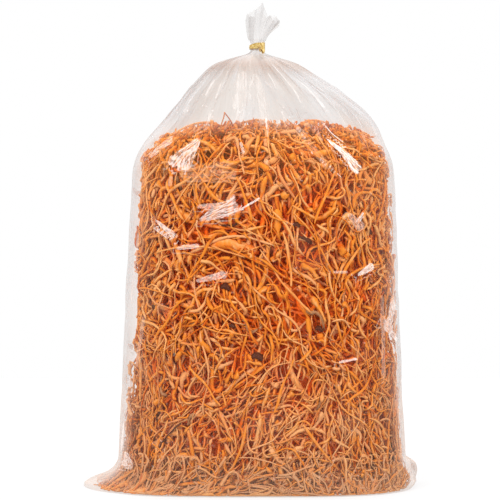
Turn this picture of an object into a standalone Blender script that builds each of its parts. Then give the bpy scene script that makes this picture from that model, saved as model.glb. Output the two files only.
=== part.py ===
"""Dried cordyceps packed in a clear film bag that is gathered and closed with a gold twist tie.

The bag stands on its folded base. +Z is up, +X is to the right of its front, and the front faces -Y.
The origin is on the floor, midway between the tips of the two base ears. Sizes are in metres.
"""

import math
import random

import bmesh
import bpy
from mathutils import Vector, noise

# ---- The film bag -----------------------------------------------------------
# Height, left and right reach, half depth and squareness of the film's outer section.
# Squareness 2 is an ellipse, and more is a rounded rectangle.
FILM_SECTIONS = (
    (0.0000, -0.0950, 0.1030, 0.0530, 3.6),
    (0.0040, -0.0940, 0.1055, 0.0575, 3.2),
    (0.0140, -0.0905, 0.1062, 0.0605, 2.8),
    (0.0450, -0.0888, 0.1045, 0.0620, 2.5),
    (0.1250, -0.0850, 0.1015, 0.0620, 2.5),
    (0.2000, -0.0810, 0.0988, 0.0610, 2.4),
    (0.2220, -0.0790, 0.0968, 0.0580, 2.3),
    (0.2350, -0.0725, 0.0925, 0.0530, 2.2),
    (0.2510, -0.0590, 0.0828, 0.0450, 2.1),
    (0.2680, -0.0455, 0.0630, 0.0360, 2.1),
    (0.2800, -0.0340, 0.0445, 0.0270, 2.0),
    (0.2890, -0.0235, 0.0305, 0.0180, 2.0),
    (0.2935, -0.0120, 0.0190, 0.0105, 2.0),
    (0.2965, -0.0020, 0.0110, 0.0060, 2.0),
    (0.2995, 0.0005, 0.0093, 0.0044, 2.0),
    (0.3040, 0.0005, 0.0093, 0.0044, 2.0),
    (0.3065, -0.0008, 0.0115, 0.0050, 2.0),
)
FILM_WALL = 0.0005
FILM_WALL_MOST_SLANT = 2.5
FILM_POINTS_AROUND = 40
FILM_RING_HEIGHTS = (
    0.0, 0.003, 0.007, 0.012, 0.018, 0.026, 0.050, 0.095, 0.145, 0.187, 0.207, 0.222,
    0.235, 0.247, 0.258, 0.268, 0.277, 0.285, 0.290, 0.2935, 0.2965, 0.2995, 0.3040, 0.3065,
)
NECK_BOTTOM = 0.2965
NECK_TOP = 0.3065
NECK_X = 0.0049
NECK_BORE_RADIUS = 0.0012
BASE_FOLD_STEPS = (0.65, 0.3, 0.0)  # the underside's rings, as shares of the base's depth
INNER_RINGS_FROM = 0.01  # the inner wall has no rings in the ears below this height

# The two ears that the flat bag's lower corners make: height and tip of each
LEFT_EAR_TIPS = (
    (0.000, -0.1145), (0.003, -0.1135), (0.007, -0.1075), (0.012, -0.0965), (0.018, -0.0905),
)
RIGHT_EAR_TIPS = (
    (0.000, 0.1115), (0.003, 0.1145), (0.012, 0.1135), (0.018, 0.1110), (0.026, 0.1055),
)
EAR_HALF_ANGLE = 0.62

# The pleats that run down from the gathered neck
PLEAT_WAVES = ((6, 0.4, 1.0), (9, 2.1, 0.8), (13, 4.0, 0.5))  # count around, phase, share
PLEAT_DEPTH = 0.0015
PLEATS_START = 0.200
PLEATS_FULL = 0.268
PLEATS_FADE = 0.284  # above this height the neck draws the pleats together

# The loose tail of film above the tie
TAIL_STEPS = 3
TAIL_LEFT, TAIL_RIGHT = -0.0030, 0.0200
TAIL_HALF_DEPTH = 0.0062
TAIL_LOW_RIM = 0.3210
TAIL_PEAK = 0.3310
TAIL_PEAK_X = 0.0105
TAIL_PEAK_WIDTH = 0.0060
TAIL_RUFFLES = 5
TAIL_RUFFLE_DEPTH = 0.0017
TAIL_RUFFLE_PHASE = 0.6

# ---- The contents -----------------------------------------------------------
# The same five values for the outside of the packed cordyceps
CONTENTS_SECTIONS = (
    (0.0012, -0.0880, 0.0955, 0.0500, 3.4),
    (0.0060, -0.0875, 0.0990, 0.0560, 3.0),
    (0.0200, -0.0845, 0.1002, 0.0590, 2.6),
    (0.0450, -0.0810, 0.0992, 0.0608, 2.5),
    (0.1250, -0.0785, 0.0968, 0.0608, 2.5),
    (0.2000, -0.0765, 0.0953, 0.0595, 2.4),
    (0.2180, -0.0750, 0.0942, 0.0565, 2.3),
    (0.2300, -0.0690, 0.0903, 0.0520, 2.2),
    (0.2385, -0.0605, 0.0838, 0.0450, 2.2),
    (0.2440, -0.0465, 0.0745, 0.0350, 2.2),
    (0.2475, -0.0260, 0.0520, 0.0200, 2.2),
)
HEAP_INSET = 0.0042  # from the outside of the contents to the heap behind the outer pieces
HEAP_FLOOR = 0.0022
HEAP_TOP = 0.2464
HEAP_CROWN = 0.2467
HEAP_CROWN_X = 0.0110
HEAP_POINTS_AROUND = 42
HEAP_RINGS = 21
HEAP_RELIEF = 0.0017
HEAP_LUMP_MOST = 0.55  # the highest lumps just reach the inset outline
HEAP_LUMPS = (160, 160, 60)  # lumps to the metre across, along and up

PIECE_DEPTH = 0.0017  # from the outside of the contents to a piece's middle
CONTENTS_GIRTH = 0.515
PIECE_COLUMNS, PIECE_ROWS = 9, 5
PIECE_LOW_ROW, PIECE_ROW_STEP = 0.033, 0.0405
PIECE_LENGTHS = (0.034, 0.043)
PIECE_POINTS = 6
PIECE_MOST_LEAN = math.radians(48)
PIECE_WAVES = 1.5  # bends to and fro along a piece
STALK_RADII = (0.00070, 0.00095)
CLUB_RADII = (0.00105, 0.00135)
CLUB_TIP_TAPER = 0.62

# The pieces on top of the heap: middle x and y, heading, and how high the middle arches
TOP_PIECES = (
    (-0.036, -0.012, math.radians(34), 0.0016),
    (0.004, -0.018, math.radians(-48), 0.0012),
    (0.044, -0.012, math.radians(52), 0.0014),
    (-0.030, 0.020, math.radians(-25), 0.0010),
    (0.014, 0.018, math.radians(40), 0.0016),
    (0.050, 0.022, math.radians(-30), 0.0012),
)
TOP_PIECE_LENGTH = 0.034
TOP_PIECE_GAP = 0.0011
TOP_PIECE_DRAW_IN = 18  # share of its span that a piece loses for each metre that its middle arches

# ---- The twist tie ----------------------------------------------------------
TIE_WIDTH = 0.0040
TIE_EDGE_THICKNESS = 0.00024
TIE_WIRE_THICKNESS = 0.00052
TIE_RADIUS = 0.0053
TIE_HEIGHT = 0.3019
TIE_TILT = 0.0006  # how much the turn rises to its right side
TIE_STEPS_AROUND = 24
TIE_KNOT_ANGLE = math.radians(-68)
TIE_KNOT_REACH = 0.0020
TIE_ENDS_DIRECTION = (0.05, -0.88, -0.46)
TIE_ENDS_LENGTH = 0.0115
TIE_ENDS_STEPS = 14
TIE_ENDS_TWIST = math.radians(330)
TIE_ENDS_OFFSET = 0.00045
TIE_SLANTS = (1, -1, 1, 1, -1, 1)  # how each side of the strip is split, so that its two faces fold alike

FILM_COLOUR = (0.93, 0.91, 0.89, 1.0)
CONTENTS_COLOUR = (0.72, 0.27, 0.05, 1.0)
TIE_COLOUR = (0.80, 0.58, 0.14, 1.0)


def clear_scene():
    for thing in list(bpy.data.objects):
        bpy.data.objects.remove(thing, do_unlink=True)


def material(name, colour, roughness, metallic=0.0):
    made = bpy.data.materials.new(name)
    made.use_nodes = True
    shader = made.node_tree.nodes["Principled BSDF"]
    shader.inputs["Base Color"].default_value = colour
    shader.inputs["Roughness"].default_value = roughness
    shader.inputs["Metallic"].default_value = metallic
    return made


def smooth(rows, height):
    """The rows' values at a height, on a smooth curve through them. Each row starts with its height."""
    last = len(rows) - 1
    height = min(max(height, rows[0][0]), rows[last][0])
    k = next(i for i in range(last) if height <= rows[i + 1][0])
    span = rows[k + 1][0] - rows[k][0]
    t = (height - rows[k][0]) / span

    def slope(i, column):
        low, high = rows[max(i - 1, 0)], rows[min(i + 1, last)]
        return (high[column] - low[column]) / (high[0] - low[0])

    found = []
    for column in range(1, len(rows[0])):
        a, b = rows[k][column], rows[k + 1][column]
        leave, arrive = slope(k, column) * span, slope(k + 1, column) * span
        found.append(
            a * (1 + 2 * t) * (1 - t) ** 2
            + leave * t * (1 - t) ** 2
            + b * t * t * (3 - 2 * t)
            + arrive * t * t * (t - 1)
        )
    return found


def ramp(low, high, value):
    """0 below low, 1 above high, with soft ends."""
    t = min(max((value - low) / (high - low), 0.0), 1.0)
    return t * t * (3 - 2 * t)


def section_point(rows, height, angle, inset=0.0):
    """A point of a bag-shaped section: a rounded rectangle with its own reach on each side."""
    left, right, depth, squareness = smooth(rows, height)
    half_width = (right - left) / 2 - inset
    c, s = math.cos(angle), math.sin(angle)
    x = (left + right) / 2 + half_width * math.copysign(abs(c) ** (2 / squareness), c)
    y = (depth - inset) * math.copysign(abs(s) ** (2 / squareness), s)
    return Vector((x, y, height))


def wall(mesh, low, high, slant):
    """The faces between two pairs of corners: a quad, or two triangles whose shared edge rises to one side."""
    if slant > 0:
        mesh.faces.new((low[0], low[1], high[1]))
        mesh.faces.new((low[0], high[1], high[0]))
    elif slant < 0:
        mesh.faces.new((low[0], low[1], high[0]))
        mesh.faces.new((low[1], high[1], high[0]))
    else:
        mesh.faces.new((low[0], low[1], high[1], high[0]))


def loft(name, rings, close_start=False, close_end=False, slant=lambda ring, point: 0):
    """A mesh object through rings of equally many points, with faces out for rings that run anticlockwise and up."""
    mesh = bmesh.new()
    made = [[mesh.verts.new(point) for point in ring] for ring in rings]
    count = len(rings[0])
    for k, (low, high) in enumerate(zip(made, made[1:])):
        for i in range(count):
            j = (i + 1) % count
            wall(mesh, (low[i], low[j]), (high[i], high[j]), slant(k, i))
    if close_start:
        mesh.faces.new(made[0][::-1])
    if close_end:
        mesh.faces.new(made[-1])
    bmesh.ops.remove_doubles(mesh, verts=mesh.verts, dist=1e-5)
    bmesh.ops.recalc_face_normals(mesh, faces=mesh.faces)
    data = bpy.data.meshes.new(name)
    mesh.to_mesh(data)
    mesh.free()
    return bpy.data.objects.new(name, data)


def finish(thing, collection, look):
    collection.objects.link(thing)
    thing.data.materials.append(look)
    if thing.type == "MESH":
        thing.data.shade_smooth()
        thing.data.set_sharp_from_angle(angle=math.radians(50))


# ---- The film bag -----------------------------------------------------------
def ear_reach(height, angle):
    """How far an ear pulls the film out at this height and angle."""
    left, right, _, _ = smooth(FILM_SECTIONS, height)
    reach = 0.0
    for tips, middle, body in ((LEFT_EAR_TIPS, math.pi, left), (RIGHT_EAR_TIPS, 0.0, right)):
        away = abs((angle - middle + math.pi) % (2 * math.pi) - math.pi)
        if away < EAR_HALF_ANGLE and height < tips[-1][0]:
            (tip,) = smooth(tips, height)
            reach += (tip - body) * (1 - away / EAR_HALF_ANGLE)
    return reach


def pleat(height, angle):
    """The pleats' rise off the film, which fades down the shoulders and in the tied neck."""
    strength = ramp(PLEATS_START, PLEATS_FULL, height) * (1 - ramp(PLEATS_FADE, NECK_BOTTOM, height))
    wave = sum(share * math.cos(count * angle + phase) for count, phase, share in PLEAT_WAVES)
    return PLEAT_DEPTH * strength * wave


def film_ring(height, inset):
    """One ring of the bag below the tail. The inner wall has no ears and narrows to the neck's bore."""
    ring = []
    for i in range(FILM_POINTS_AROUND):
        angle = 2 * math.pi * i / FILM_POINTS_AROUND
        if inset and height >= NECK_BOTTOM:
            bore = Vector((math.cos(angle), math.sin(angle), 0)) * NECK_BORE_RADIUS
            ring.append(bore + Vector((NECK_X, 0, height)))
            continue
        point = section_point(FILM_SECTIONS, height, angle, inset)
        middle = Vector((NECK_X, 0, height))
        point += (point - middle).normalized() * pleat(height, angle)
        if not inset:
            point.x += ear_reach(height, angle)
        ring.append(point)
    return ring


def tail_ring(share, inset):
    """One ring of the tail, from the neck at share 0 to the ruffled rim at share 1."""
    ring = []
    half_width = (TAIL_RIGHT - TAIL_LEFT) / 2
    for i in range(FILM_POINTS_AROUND):
        angle = 2 * math.pi * i / FILM_POINTS_AROUND
        low = section_point(FILM_SECTIONS, NECK_TOP, angle)
        ruffle = TAIL_RUFFLE_DEPTH * math.cos(TAIL_RUFFLES * angle + TAIL_RUFFLE_PHASE)
        x = (TAIL_LEFT + TAIL_RIGHT) / 2 + (half_width + ruffle) * math.cos(angle)
        y = (TAIL_HALF_DEPTH + ruffle) * math.sin(angle)
        peak = math.exp(-(((x - TAIL_PEAK_X) / TAIL_PEAK_WIDTH) ** 2))
        rim = Vector((x, y, TAIL_LOW_RIM + (TAIL_PEAK - TAIL_LOW_RIM) * peak))
        point = low.lerp(rim, share)
        middle = Vector((NECK_X, 0, point.z)).lerp(
            Vector(((TAIL_LEFT + TAIL_RIGHT) / 2, 0, point.z)), share
        )
        if inset:
            flat = point - middle
            point = middle + flat * (1 - inset / flat.length)
        ring.append(point)
    return ring


def folded_base(ring):
    """The rings of a flat underside, which meet on the seam that runs from ear to ear."""
    return [[Vector((p.x, p.y * share, p.z)) for p in ring] for share in BASE_FOLD_STEPS][::-1]


def inner_wall(height):
    """The wall's thickness level with the floor, which keeps it even where the shoulder slopes."""
    step = 0.002
    narrow = smooth(FILM_SECTIONS, height + step)[1] - smooth(FILM_SECTIONS, height - step)[1]
    return FILM_WALL * min(math.hypot(1, narrow / (2 * step)), FILM_WALL_MOST_SLANT)


def film_bag():
    base = film_ring(0.0, 0.0)
    outer = folded_base(base) + [film_ring(height, 0.0) for height in FILM_RING_HEIGHTS]
    shares = [(i + 1) / TAIL_STEPS for i in range(TAIL_STEPS)]
    outer += [tail_ring(share, 0.0) for share in shares]
    inner_heights = [FILM_WALL] + [height for height in FILM_RING_HEIGHTS if height > INNER_RINGS_FROM]
    inner = [film_ring(height, inner_wall(height)) for height in inner_heights]
    floor = folded_base(inner[0])
    inner += [tail_ring(share, FILM_WALL) for share in shares]
    return loft("film_bag", outer + (floor + inner)[::-1])


# ---- The contents -----------------------------------------------------------
def heap():
    """The packed cordyceps behind the outer pieces: one heap with a streaky, lumpy surface."""
    rings = []
    for k in range(HEAP_RINGS):
        t = k / (HEAP_RINGS - 1)
        height = HEAP_FLOOR + (HEAP_TOP - HEAP_FLOOR) * (t - math.sin(2 * math.pi * t) / 40)
        ring = []
        for i in range(HEAP_POINTS_AROUND):
            angle = 2 * math.pi * i / HEAP_POINTS_AROUND
            point = section_point(CONTENTS_SECTIONS, height, angle, HEAP_INSET)
            lump = noise.noise(Vector(a * b for a, b in zip(point, HEAP_LUMPS)))
            out = Vector((math.cos(angle), math.sin(angle), 0))
            ring.append(point + out * HEAP_RELIEF * (lump - HEAP_LUMP_MOST))
        rings.append(ring)
    crown = [Vector((HEAP_CROWN_X, 0, HEAP_CROWN))] * HEAP_POINTS_AROUND
    return loft("cordyceps_heap", rings + [crown], close_start=True)


def around(height, share):
    """The section angle at a share of the way round the contents, by length along the outline."""
    steps = 180
    angles = [2 * math.pi * i / steps for i in range(steps + 1)]
    points = [section_point(CONTENTS_SECTIONS, height, angle) for angle in angles]
    wanted = (share % 1.0) * sum((b - a).length for a, b in zip(points, points[1:]))
    for i in range(steps):
        side = (points[i + 1] - points[i]).length
        if wanted <= side:
            return angles[i] + (angles[i + 1] - angles[i]) * wanted / side
        wanted -= side
    return angles[-1]


def piece_radius(t, stalk, club):
    """A piece's radius from its cut foot at t 0 to the rounded end of its club at t 1."""
    swell = stalk + (club - stalk) * ramp(0.35, 0.75, t)
    return swell * (1 - CLUB_TIP_TAPER * ramp(0.88, 1.0, t))


def piece(name, points, stalk, club):
    """One dried cordyceps: a curved stalk that swells into a club."""
    data = bpy.data.curves.new(name, "CURVE")
    data.dimensions = "3D"
    data.bevel_depth = 1.0
    data.bevel_resolution = 1
    data.use_fill_caps = True
    spline = data.splines.new("POLY")
    spline.points.add(len(points) - 1)
    for i, (target, point) in enumerate(zip(spline.points, points)):
        target.co = (*point, 1)
        target.radius = piece_radius(i / (len(points) - 1), stalk, club)
    return bpy.data.objects.new(name, data)


def side_piece_points(rng, column, row):
    """The line of a piece that lies against the film, inside its own patch of the bag's side."""
    height = PIECE_LOW_ROW + PIECE_ROW_STEP * row + rng.uniform(-0.0015, 0.0015)
    share = (column + 0.5 + (0.5 if row % 2 else 0.0) + rng.uniform(-0.06, 0.06)) / PIECE_COLUMNS
    lean = rng.uniform(-PIECE_MOST_LEAN, PIECE_MOST_LEAN)
    length = rng.uniform(*PIECE_LENGTHS) * (1 - 0.1 * math.cos(lean) ** 4)
    bow = rng.uniform(-0.0050, 0.0050)
    wave = rng.uniform(-0.0016, 0.0016)
    flip = rng.choice((-1, 1))
    points = []
    for i in range(PIECE_POINTS):
        t = i / (PIECE_POINTS - 1) - 0.5
        along = t * length * flip
        across = bow * (1 - 4 * t * t) + wave * math.sin(2 * math.pi * PIECE_WAVES * (t + 0.5))
        z = height + along * math.cos(lean) - across * math.sin(lean)
        sideways = along * math.sin(lean) + across * math.cos(lean)
        angle = around(z, share + sideways / CONTENTS_GIRTH)
        points.append(section_point(CONTENTS_SECTIONS, z, angle, PIECE_DEPTH))
    return points


def heap_top(x, y):
    """The height of the heap's upper side at a place."""
    low, high = 0.2, CONTENTS_SECTIONS[-1][0]
    for _ in range(30):
        z = (low + high) / 2
        left, right, depth, squareness = smooth(CONTENTS_SECTIONS, z)
        across = abs(2 * x - left - right) / (right - left)
        if across**squareness + (abs(y) / depth) ** squareness < 1:
            low = z
        else:
            high = z
    return low


def top_piece_points(x, y, heading, arch):
    """The line of a piece that lies over the heap's upper side and arches off it."""
    points = []
    for i in range(PIECE_POINTS):
        t = i / (PIECE_POINTS - 1) - 0.5
        along = t * TOP_PIECE_LENGTH * (1 - TOP_PIECE_DRAW_IN * arch)
        here_x = x + along * math.cos(heading)
        here_y = y + along * math.sin(heading)
        rise = TOP_PIECE_GAP + arch * (1 - 4 * t * t) ** 2
        points.append(Vector((here_x, here_y, heap_top(here_x, here_y) + rise)))
    return points


def cordyceps_pieces():
    """The separate pieces that lie outermost: against the film all round, and on top of the heap."""
    rng = random.Random(41)
    lines = [
        side_piece_points(rng, column, row)
        for row in range(PIECE_ROWS)
        for column in range(PIECE_COLUMNS)
    ]
    lines += [top_piece_points(*place) for place in TOP_PIECES]
    return [
        piece(f"cordyceps_{i + 1:02d}", line, rng.uniform(*STALK_RADII), rng.uniform(*CLUB_RADII))
        for i, line in enumerate(lines)
    ]


# ---- The twist tie ----------------------------------------------------------
def tie_section(middle, across, out):
    """Six corners of the strip: thin paper edges with the wire's ridge between them."""
    half = TIE_WIDTH / 2
    edge, ridge = TIE_EDGE_THICKNESS / 2, TIE_WIRE_THICKNESS / 2
    corners = ((-half, -edge), (0, -ridge), (half, -edge), (half, edge), (0, ridge), (-half, edge))
    return [middle + across * a + out * b for a, b in corners]


def tie_end(side):
    """Sections of one twisted end, from the neck outwards. side is +1 or -1 for the two ends."""
    radial = Vector((math.cos(TIE_KNOT_ANGLE), math.sin(TIE_KNOT_ANGLE), 0))
    root = Vector((NECK_X, 0, TIE_HEIGHT)) + radial * (TIE_RADIUS + TIE_KNOT_REACH)
    away = Vector(TIE_ENDS_DIRECTION).normalized()
    flat = Vector((0, 0, 1)).cross(away).normalized() * -1
    stand = flat.cross(away)
    sections = []
    for i in range(TIE_ENDS_STEPS):
        t = i / (TIE_ENDS_STEPS - 1)
        turn = TIE_ENDS_TWIST * t
        out = (flat * math.cos(turn) + stand * math.sin(turn)) * side
        across = (away * -side).cross(out)
        middle = root + away * TIE_ENDS_LENGTH * t + out * TIE_ENDS_OFFSET
        sections.append(tie_section(middle, across, out))
    return sections


def tie_turn():
    """Sections of the turn round the neck, clockwise from the knot and back to it."""
    sections = []
    for i in range(1, TIE_STEPS_AROUND):
        angle = TIE_KNOT_ANGLE - 2 * math.pi * i / TIE_STEPS_AROUND
        out = Vector((math.cos(angle), math.sin(angle), 0))
        middle = Vector((NECK_X, 0, TIE_HEIGHT + TIE_TILT * out.x)) + out * TIE_RADIUS
        sections.append(tie_section(middle, Vector((0, 0, 1)), out))
    return sections


def twist_tie():
    """A flat strip wound once round the neck, its two ends laid face to face and twisted."""
    rings = tie_end(1)[::-1] + tie_turn() + tie_end(-1)
    middle = len(rings) // 2

    def slant(ring, point):
        return TIE_SLANTS[point] * (1 if ring < middle else -1)

    return loft("twist_tie", rings, close_start=True, close_end=True, slant=slant)


def main():
    clear_scene()
    parts = bpy.data.collections.new("dried_cordyceps")
    bpy.context.scene.collection.children.link(parts)
    clear_film = material("clear_film", FILM_COLOUR, 0.12)
    dried_fungus = material("dried_fungus", CONTENTS_COLOUR, 0.6)
    gold_foil = material("gold_foil", TIE_COLOUR, 0.3, 0.8)
    finish(film_bag(), parts, clear_film)
    finish(heap(), parts, dried_fungus)
    finish(twist_tie(), parts, gold_foil)
    for one in cordyceps_pieces():
        finish(one, parts, dried_fungus)


main()
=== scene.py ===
"""Dried cordyceps packed in a clear film bag that is gathered and closed with a gold twist tie.

The bag's film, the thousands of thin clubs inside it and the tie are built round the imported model. Everything
is in metres in the model's own frame: +Z up, +X to the right of the front, the front faces -Y, and the floor
is at 0.
"""

import math

import bpy
import numpy as np
from bpy.props import FloatProperty, FloatVectorProperty, IntProperty, PointerProperty
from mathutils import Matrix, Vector
from mathutils.bvhtree import BVHTree
from mathutils.geometry import delaunay_2d_cdt


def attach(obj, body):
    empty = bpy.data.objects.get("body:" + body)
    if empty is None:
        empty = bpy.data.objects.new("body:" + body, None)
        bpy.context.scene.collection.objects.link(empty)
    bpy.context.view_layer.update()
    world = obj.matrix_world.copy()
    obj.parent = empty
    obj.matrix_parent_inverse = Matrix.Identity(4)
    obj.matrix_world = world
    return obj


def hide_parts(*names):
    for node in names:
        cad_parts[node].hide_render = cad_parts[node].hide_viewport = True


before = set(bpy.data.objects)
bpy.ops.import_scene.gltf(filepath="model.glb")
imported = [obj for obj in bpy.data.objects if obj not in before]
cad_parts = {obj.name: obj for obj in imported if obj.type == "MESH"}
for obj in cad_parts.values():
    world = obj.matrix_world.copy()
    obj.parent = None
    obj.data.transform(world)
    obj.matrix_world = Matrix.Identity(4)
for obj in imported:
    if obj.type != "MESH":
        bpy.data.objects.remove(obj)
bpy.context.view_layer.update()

bl_info = {
    "name": "Bag of dried cordyceps",
    "version": (1, 0, 0),
    "blender": (4, 5, 0),
    "location": "View3D > Sidebar > Cordyceps",
    "description": "Dresses a packed bag of dried cordyceps: clubs, film, tie and a studio",
    "category": "Add Mesh",
}

BODY = "root"
OUTER_CLUBS = sorted(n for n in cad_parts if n.startswith("cordyceps_") and n[-1].isdigit())
FULL_TURN = 2 * math.pi
PHASES = (0, 6.28)
SEEDS = {
    "side clubs": 7, "top clubs": 11, "broken clubs": 3, "locks": 29,
    "pleats": 21, "tail": 5, "creases": 15, "crimps": 8,
}

# ---- The outlines of the bag and its contents -------------------------------
# They are the solids' own, but for the lowest rows and the ears, which follow the photo's lower outline more
# closely. Each row has a height, the left and right reach, the half depth and the squareness. Squareness 2 is
# an ellipse, and more is a rounded rectangle.
FILM_SECTIONS = (
    (0.0000, -0.0985, 0.1045, 0.0592, 3.4),
    (0.0040, -0.0950, 0.1057, 0.0602, 3.1),
    (0.0140, -0.0905, 0.1062, 0.0608, 2.8),
    (0.0450, -0.0888, 0.1045, 0.0620, 2.5),
    (0.1250, -0.0850, 0.1015, 0.0620, 2.5),
    (0.2000, -0.0810, 0.0988, 0.0610, 2.4),
    (0.2220, -0.0790, 0.0968, 0.0580, 2.3),
    (0.2350, -0.0725, 0.0925, 0.0530, 2.2),
    (0.2510, -0.0590, 0.0828, 0.0450, 2.1),
    (0.2680, -0.0455, 0.0630, 0.0360, 2.1),
    (0.2800, -0.0340, 0.0445, 0.0270, 2.0),
    (0.2890, -0.0235, 0.0305, 0.0180, 2.0),
    (0.2935, -0.0120, 0.0190, 0.0105, 2.0),
    (0.2965, -0.0020, 0.0110, 0.0060, 2.0),
    (0.2995, 0.0005, 0.0093, 0.0044, 2.0),
    (0.3040, 0.0005, 0.0093, 0.0044, 2.0),
    (0.3065, -0.0008, 0.0115, 0.0050, 2.0),
)
CONTENTS_SECTIONS = (
    (0.0012, -0.0925, 0.0985, 0.0558, 3.3),
    (0.0060, -0.0890, 0.0998, 0.0578, 3.0),
    (0.0200, -0.0845, 0.1002, 0.0590, 2.6),
    (0.0450, -0.0810, 0.0992, 0.0608, 2.5),
    (0.1250, -0.0785, 0.0968, 0.0608, 2.5),
    (0.2000, -0.0765, 0.0953, 0.0595, 2.4),
    (0.2180, -0.0750, 0.0942, 0.0565, 2.3),
    (0.2300, -0.0690, 0.0903, 0.0520, 2.2),
    (0.2385, -0.0605, 0.0838, 0.0450, 2.2),
    (0.2440, -0.0465, 0.0745, 0.0350, 2.2),
    (0.2475, -0.0260, 0.0520, 0.0200, 2.2),
)
# How far the tips of the base ears reach, by height
LEFT_EAR_TIPS = (
    (0.0000, -0.1145), (0.0020, -0.1138), (0.0048, -0.1085),
    (0.0070, -0.1015), (0.0115, -0.0942), (0.0170, -0.0904),
)
RIGHT_EAR_TIPS = ((0.000, 0.1115), (0.003, 0.1145), (0.011, 0.1140), (0.0155, 0.1122), (0.020, 0.1057))
EAR_HALF_ANGLE = 0.62
NECK_X = 0.0049
NECK_TOP = 0.3065
GIRTH_HEIGHT = 0.12  # where the contents' girth is measured
PROFILE_STOP = 0.0009  # the profile up their side stops so far under their top
GIRTH_STEPS, PROFILE_STEPS = 2881, 1200


def smooth_rows(rows, heights):
    """The rows' values at the heights, on smooth curves through them. Each row starts with its height."""
    rows = np.array(rows)
    z = rows[:, 0]
    heights = np.clip(heights, z[0], z[-1])
    k = np.clip(np.searchsorted(z, heights) - 1, 0, len(z) - 2)
    low, high = np.maximum(np.arange(len(z)) - 1, 0), np.minimum(np.arange(len(z)) + 1, len(z) - 1)
    slopes = (rows[high, 1:] - rows[low, 1:]) / (z[high] - z[low])[:, None]
    span = (z[k + 1] - z[k])[..., None]
    t = (heights - z[k])[..., None] / span
    found = (
        rows[k, 1:] * (1 + 2 * t) * (1 - t) ** 2
        + slopes[k] * span * t * (1 - t) ** 2
        + rows[k + 1, 1:] * t * t * (3 - 2 * t)
        + slopes[k + 1] * span * t * t * (t - 1)
    )
    return np.moveaxis(found, -1, 0)


def ramp(low, high, value):
    """0 below low, 1 above high, with soft ends."""
    t = np.clip((value - low) / (high - low), 0.0, 1.0)
    return t * t * (3 - 2 * t)


def signed_power(values, power):
    return np.sign(values) * np.abs(values) ** power


def wrapped(values, turn=FULL_TURN):
    """The same places on a circle, from half a turn back to half a turn ahead."""
    return (values + turn / 2) % turn - turn / 2


def unit(vectors):
    return vectors / np.maximum(np.linalg.norm(vectors, axis=-1, keepdims=True), 1e-12)


def section_points(rows, heights, angles):
    """Points of bag-shaped sections: rounded rectangles with their own reach on each side."""
    left, right, depth, squareness = smooth_rows(rows, heights)
    x = (left + right) / 2 + (right - left) / 2 * signed_power(np.cos(angles), 2 / squareness)
    y = depth * signed_power(np.sin(angles), 2 / squareness)
    return np.stack(np.broadcast_arrays(x, y, heights), axis=-1)


def running_total(steps):
    return np.concatenate([[0.0], np.cumsum(steps)])


GIRTH_ANGLES = np.linspace(0, FULL_TURN, GIRTH_STEPS)
GIRTH_POINTS = section_points(CONTENTS_SECTIONS, np.full(GIRTH_STEPS, GIRTH_HEIGHT), GIRTH_ANGLES)
GIRTH_LENGTHS = running_total(np.linalg.norm(np.diff(GIRTH_POINTS, axis=0), axis=1))
GIRTH = float(GIRTH_LENGTHS[-1])
PROFILE_HEIGHTS = np.linspace(CONTENTS_SECTIONS[0][0], CONTENTS_SECTIONS[-1][0] - PROFILE_STOP, PROFILE_STEPS)
PROFILE_DEPTHS = smooth_rows(CONTENTS_SECTIONS, PROFILE_HEIGHTS)[2]
PROFILE_LENGTHS = running_total(np.hypot(*np.diff([PROFILE_HEIGHTS, PROFILE_DEPTHS])))


def angle_at(lengths):
    """The angle at a length round the bag, from the right."""
    return np.interp(np.mod(lengths, GIRTH), GIRTH_LENGTHS, GIRTH_ANGLES)


def length_at(angles):
    return np.interp(np.mod(angles, FULL_TURN), GIRTH_ANGLES, GIRTH_LENGTHS)


def climb_at(heights):
    """The length up the contents' side to a height."""
    return np.interp(heights, PROFILE_HEIGHTS, PROFILE_LENGTHS)


def front_place(rows, x, height):
    """The length round the bag, from the right, of the place on the front at an x and a height."""
    left, right, depth, squareness = smooth_rows(rows, np.array([height]))[:, 0]
    share = (2 * x - left - right) / (right - left)
    across = min(abs(share), 1.0)
    y = (1 - across**squareness) ** (1 / squareness)
    c, s = across ** (squareness / 2), y ** (squareness / 2)
    return float(length_at(math.atan2(-s, math.copysign(c, share))))


def ear_reach(heights, angles):
    """How far the two base ears pull the film out."""
    left, right, _, _ = smooth_rows(FILM_SECTIONS, heights)
    reach = np.zeros(np.broadcast(heights, angles).shape)
    for tips, middle, body in ((LEFT_EAR_TIPS, math.pi, left), (RIGHT_EAR_TIPS, 0.0, right)):
        (tip,) = smooth_rows(tips, heights)
        share = np.clip(1 - np.abs(wrapped(angles - middle)) / EAR_HALF_ANGLE, 0, 1)
        reach += np.where(heights < tips[-1][0], (tip - body) * share, 0)
    return reach


# ---- Settings ---------------------------------------------------------------
def size_setting(name, description, default):
    return FloatProperty(name=name, description=description, default=default, unit="LENGTH")


def count_setting(name, description, default):
    return IntProperty(name=name, description=description, default=default)


def colour_setting(name, description, default):
    return FloatVectorProperty(name=name, description=description, default=default, subtype="COLOR")


def share_setting(name, description, default):
    return FloatProperty(name=name, description=description, default=default, subtype="FACTOR")


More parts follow.
